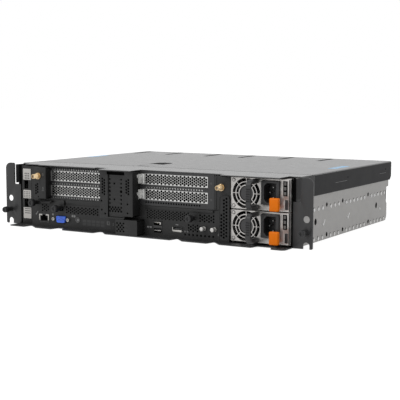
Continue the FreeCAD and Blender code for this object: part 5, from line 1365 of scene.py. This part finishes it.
def top_cover():
    inner = LID_OUT - LID_FOLD
    fold_rear = LID_REAR - LID_FOLD

    def lid(name, meshes, material, *nodes):
        painted(name, meshes, material, *nodes, body="cover")

    front_outline = rounded([
        (-LID_OUT, CREASE), (-LID_OUT, 11.5, 0.5), (-204.0, 11.5), (-204.0, -3.0, 1.0), (-175.5, -3.0),
        (-175.5, -8.0, 1.0), (-77.0, -8.0, 1.0), (-77.0, -3.0), (-57.8, -3.0), (-57.8, -27.0, 1.5),
        (-6.3, -27.0, 1.5), (-6.3, -3.0), (121.2, -3.0), (121.2, -15.7, 1.0), (204.0, -15.7, 1.0),
        (204.0, 11.5), (LID_OUT, 11.5, 0.5), (LID_OUT, CREASE),
    ], 4)
    lid("lid_front_band", flat_plate(front_outline, [], LID_UNDER, LID_SHEET), painted_sheen_band_black)
    rear_outline = [
        (-LID_OUT, CREASE + 2.2), (LID_OUT, CREASE + 2.2), (LID_OUT, FLANGE_FRONT), (inner, FLANGE_FRONT),
        (inner, fold_rear), (-inner, fold_rear), (-inner, FLANGE_FRONT), (-LID_OUT, FLANGE_FRONT),
    ]
    openings = [latch_hole(), rectangle(-213.0, 213.0, 328.1, 330.1, 0.3), ring(-54.0, 50.0, 1.0, 12)]
    openings += [ring(-39.0, 51.0, 1.0, 12)] + [rectangle(x - 4.0, x + 4.0, 275.0, 326.0, 1.5) for x in CHANNELS]
    meshes = [flat_plate(rear_outline, openings, LID_UNDER, LID_SHEET)]
    flange = rounded([
        (FLANGE_FRONT, 59.8, 0.6), (LID_REAR - 5.0, 59.8, 1.0), (LID_REAR, 64.8, 1.0), (LID_REAR, 85.75),
        (FLANGE_FRONT, 85.75),
    ])
    pricks = [ring(y, z, 0.9, 12) for y, z in PRICKS]
    flanges = [side_plate(flange, pricks, at, LID_SHEET) for at in (-LID_OUT, LID_OUT - LID_SHEET)]
    meshes += [plate(fold_section(side), [], FLANGE_FRONT, fold_rear - FLANGE_FRONT) for side in (-1, 1)]
    lid("lid_flanges", flanges, painted_shade_flange_black)
    angles = [math.pi / 2 * step / 6 for step in range(7)]
    rear_fold = [(fold_rear + LID_FOLD * math.cos(a), LID_TOP - LID_FOLD + LID_FOLD * math.sin(a)) for a in angles]
    rear_fold += [(fold_rear, LID_UNDER), (LID_REAR - 1.0, LID_TOP - LID_FOLD)]
    meshes.append(side_plate(rear_fold, [], -inner, 2 * inner))
    meshes.append(plate(rectangle(-inner, inner, 77.25, 85.75), [], LID_REAR - 1.0, 1.0))
    lid("lid_sheet", meshes, lid_black, "top_cover")

    def recess_floor(a0, a1, b0, b1):
        return flat_plate(rectangle(a0, a1, b0, b1), [], LID_UNDER - 0.3, 0.3)

    floors = [recess_floor(x - 4.6, x + 4.6, 274.4, 326.6) for x in CHANNELS]
    # Painted shade: a near-black strip along the rear hem for the shaded face of its raised lip.
    lid("lid_hem_shade", recess_floor(-214.0, 214.0, 327.4, 330.9), painted_shade_and_lamp_black)
    floors += [recess_floor(-217.0, 217.0, CREASE - 1.5, CREASE + 3.5), recess_floor(-56.0, -37.0, 48.4, 52.6)]
    lid("lid_recess_floors", floors, black)
    print_sides = (LID_OUT, -LID_OUT - PRINT)
    # Painted highlights: faint lighter lines on each flange for the lit edges of embossed slots.
    lines = [rectangle(120.0, 160.0, 71.2, 71.8, 0.2), rectangle(284.0, 310.0, 71.2, 71.7, 0.2)]
    lid("lid_flange_emboss_highlights", [side_plate(line, [], at, PRINT) for at in print_sides for line in lines], print_dim)
    # Painted shade: near-black dots over the flange's small holes.
    points = [ring(y, z, 1.2, 12) for y, z in PRICKS]
    points = [side_plate(point, [], at, PRINT) for at in print_sides for point in points]
    lid("lid_flange_hole_shades", points, painted_shade_and_lamp_black)
    patches = [rectangle(-217.0, -206.0, 160.0, 205.0, 1.5), rectangle(195.0, 207.0, 148.0, 200.0, 1.5)]
    lid("lid_stickers", [flat_plate(outline, [], LID_TOP, 0.08) for outline in patches], sky)
    text_bars = []
    for x0, y0 in ((-215.4, 164.0), (196.6, 153.0)):
        for row in range(6):
            y = y0 + 6.6 * row
            outline = rectangle(x0, x0 + 8.8 - 1.8 * (row % 3), y, y + 1.6, 0.3)
            text_bars.append(flat_plate(outline, [], LID_TOP + 0.06, 0.05))
    lid("lid_sticker_bars", text_bars, paper)
    lid("latch_pan", softened("cover_latch_cup", 0.25), black, "cover_latch_cup")
    latch_lever()


top_cover()

# Finishes of the frame's own nodes, which keep their shapes

FINISHES = {
    "galvanised": zinc,
    "black_paint": black,
    "slot_steel": cover_steel,
    "supply_steel": supply_steel,
    "black_plastic": dark_plastic,
    "black_screw": screw_black,
    "orange_plastic": orange,
    "blue_plastic": blue,
    "gold": gold,
    "nickel": nickel,
    "circuit_board": mask_green,
    "heatsink_aluminium": extrusion,
}
for part in frame["record"]["subparts"]:
    for entry in frame["nodes"][part["node"]].material_slots:
        entry.material = FINISHES[part["material_slot"]]

# Floor, light and camera


def seen_level(tree, kinds, low, high):
    """A value that is high for rays from the camera and the kinds named, and low for all others."""
    rays = tree.nodes.new("ShaderNodeLightPath")
    total = rays.outputs["Is Camera Ray"]
    for kind in kinds:
        largest = tree.nodes.new("ShaderNodeMath")
        largest.operation = "MAXIMUM"
        tree.links.new(total, largest.inputs[0])
        tree.links.new(rays.outputs[kind], largest.inputs[1])
        total = largest.outputs["Value"]
    level = tree.nodes.new("ShaderNodeMapRange")
    level.inputs["To Min"].default_value = low
    level.inputs["To Max"].default_value = high
    tree.links.new(total, level.inputs["Value"])
    return level.outputs["Result"]


def white_world():
    world = bpy.data.worlds.new("studio")
    bpy.context.scene.world = world
    world.use_nodes = True
    tree = world.node_tree
    back = tree.nodes["Background"]
    back.inputs["Color"].default_value = (1, 1, 1, 1)
    strength = seen_level(tree, ("Is Glossy Ray", "Is Transmission Ray"), 0.5, 1.0)
    tree.links.new(strength, back.inputs["Strength"])


def pale_floor():
    """A pale floor that keeps the shadow and reads as white to the camera."""
    size = 6.0
    mesh = bpy.data.meshes.new("floor")
    mesh.from_pydata([(-size, -size, 0), (size, -size, 0), (size, size, 0), (-size, size, 0)], [], [(0, 1, 2, 3)])
    floor = bpy.data.objects.new("floor", mesh)
    floor.location.z = -0.0005
    bpy.context.scene.collection.objects.link(floor)
    material = bpy.data.materials.new("floor_pale")
    material.use_nodes = True
    tree = material.node_tree
    shader = tree.nodes["Principled BSDF"]
    shader.inputs["Base Color"].default_value = (0.45, 0.45, 0.45, 1)
    shader.inputs["Roughness"].default_value = 0.9
    shader.inputs["Specular IOR Level"].default_value = 0.1
    shader.inputs["Emission Color"].default_value = (1, 1, 1, 1)
    tree.links.new(seen_level(tree, ("Is Glossy Ray",), 0.0, 0.8), shader.inputs["Emission Strength"])
    mesh.materials.append(material)


def lamp(name, place, target, size, watts):
    data = bpy.data.lights.new(name, "AREA")
    data.shape = "SQUARE"
    data.size = size
    data.energy = watts
    light = bpy.data.objects.new(name, data)
    light.location = place
    light.rotation_euler = (Vector(target) - Vector(place)).to_track_quat("-Z", "Y").to_euler()
    bpy.context.scene.collection.objects.link(light)


def camera():
    """The photograph's view: a long lens at eye height, turned to the object's left."""
    image = 400.0
    focal = 993.947
    centre_u, centre_v = 205.619, 203.979
    yaw, pitch, roll = (math.radians(value) for value in (30.216, 6.584, 0.178))
    place = Vector((726.629, -1090.539, 193.017)) * MM
    ahead = Vector((-math.sin(yaw) * math.cos(pitch), math.cos(yaw) * math.cos(pitch), -math.sin(pitch)))
    level = Vector((math.cos(yaw), math.sin(yaw), 0))
    upright = level.cross(ahead)
    right = level * math.cos(roll) + upright * math.sin(roll)
    up = -level * math.sin(roll) + upright * math.cos(roll)
    data = bpy.data.cameras.new("camera")
    data.sensor_width = 36.0
    data.lens = data.sensor_width * focal / image
    data.shift_x = -(centre_u - image / 2) / image
    data.shift_y = (centre_v - image / 2) / image
    data.clip_start = 0.01
    view = bpy.data.objects.new("camera", data)
    axes = Matrix((right, up, -ahead)).transposed()
    view.matrix_world = Matrix.Translation(place) @ axes.to_4x4()
    bpy.context.scene.collection.objects.link(view)
    bpy.context.scene.camera = view


white_world()
pale_floor()
lamp("key", (-0.6, -1.6, 1.8), (0, 0.1, 0), 1.6, 26)
lamp("side", (1.9, -0.2, 1.1), (0.2, 0.15, 0), 1.4, 6)
camera()
bpy.context.scene.view_settings.view_transform = "Standard"
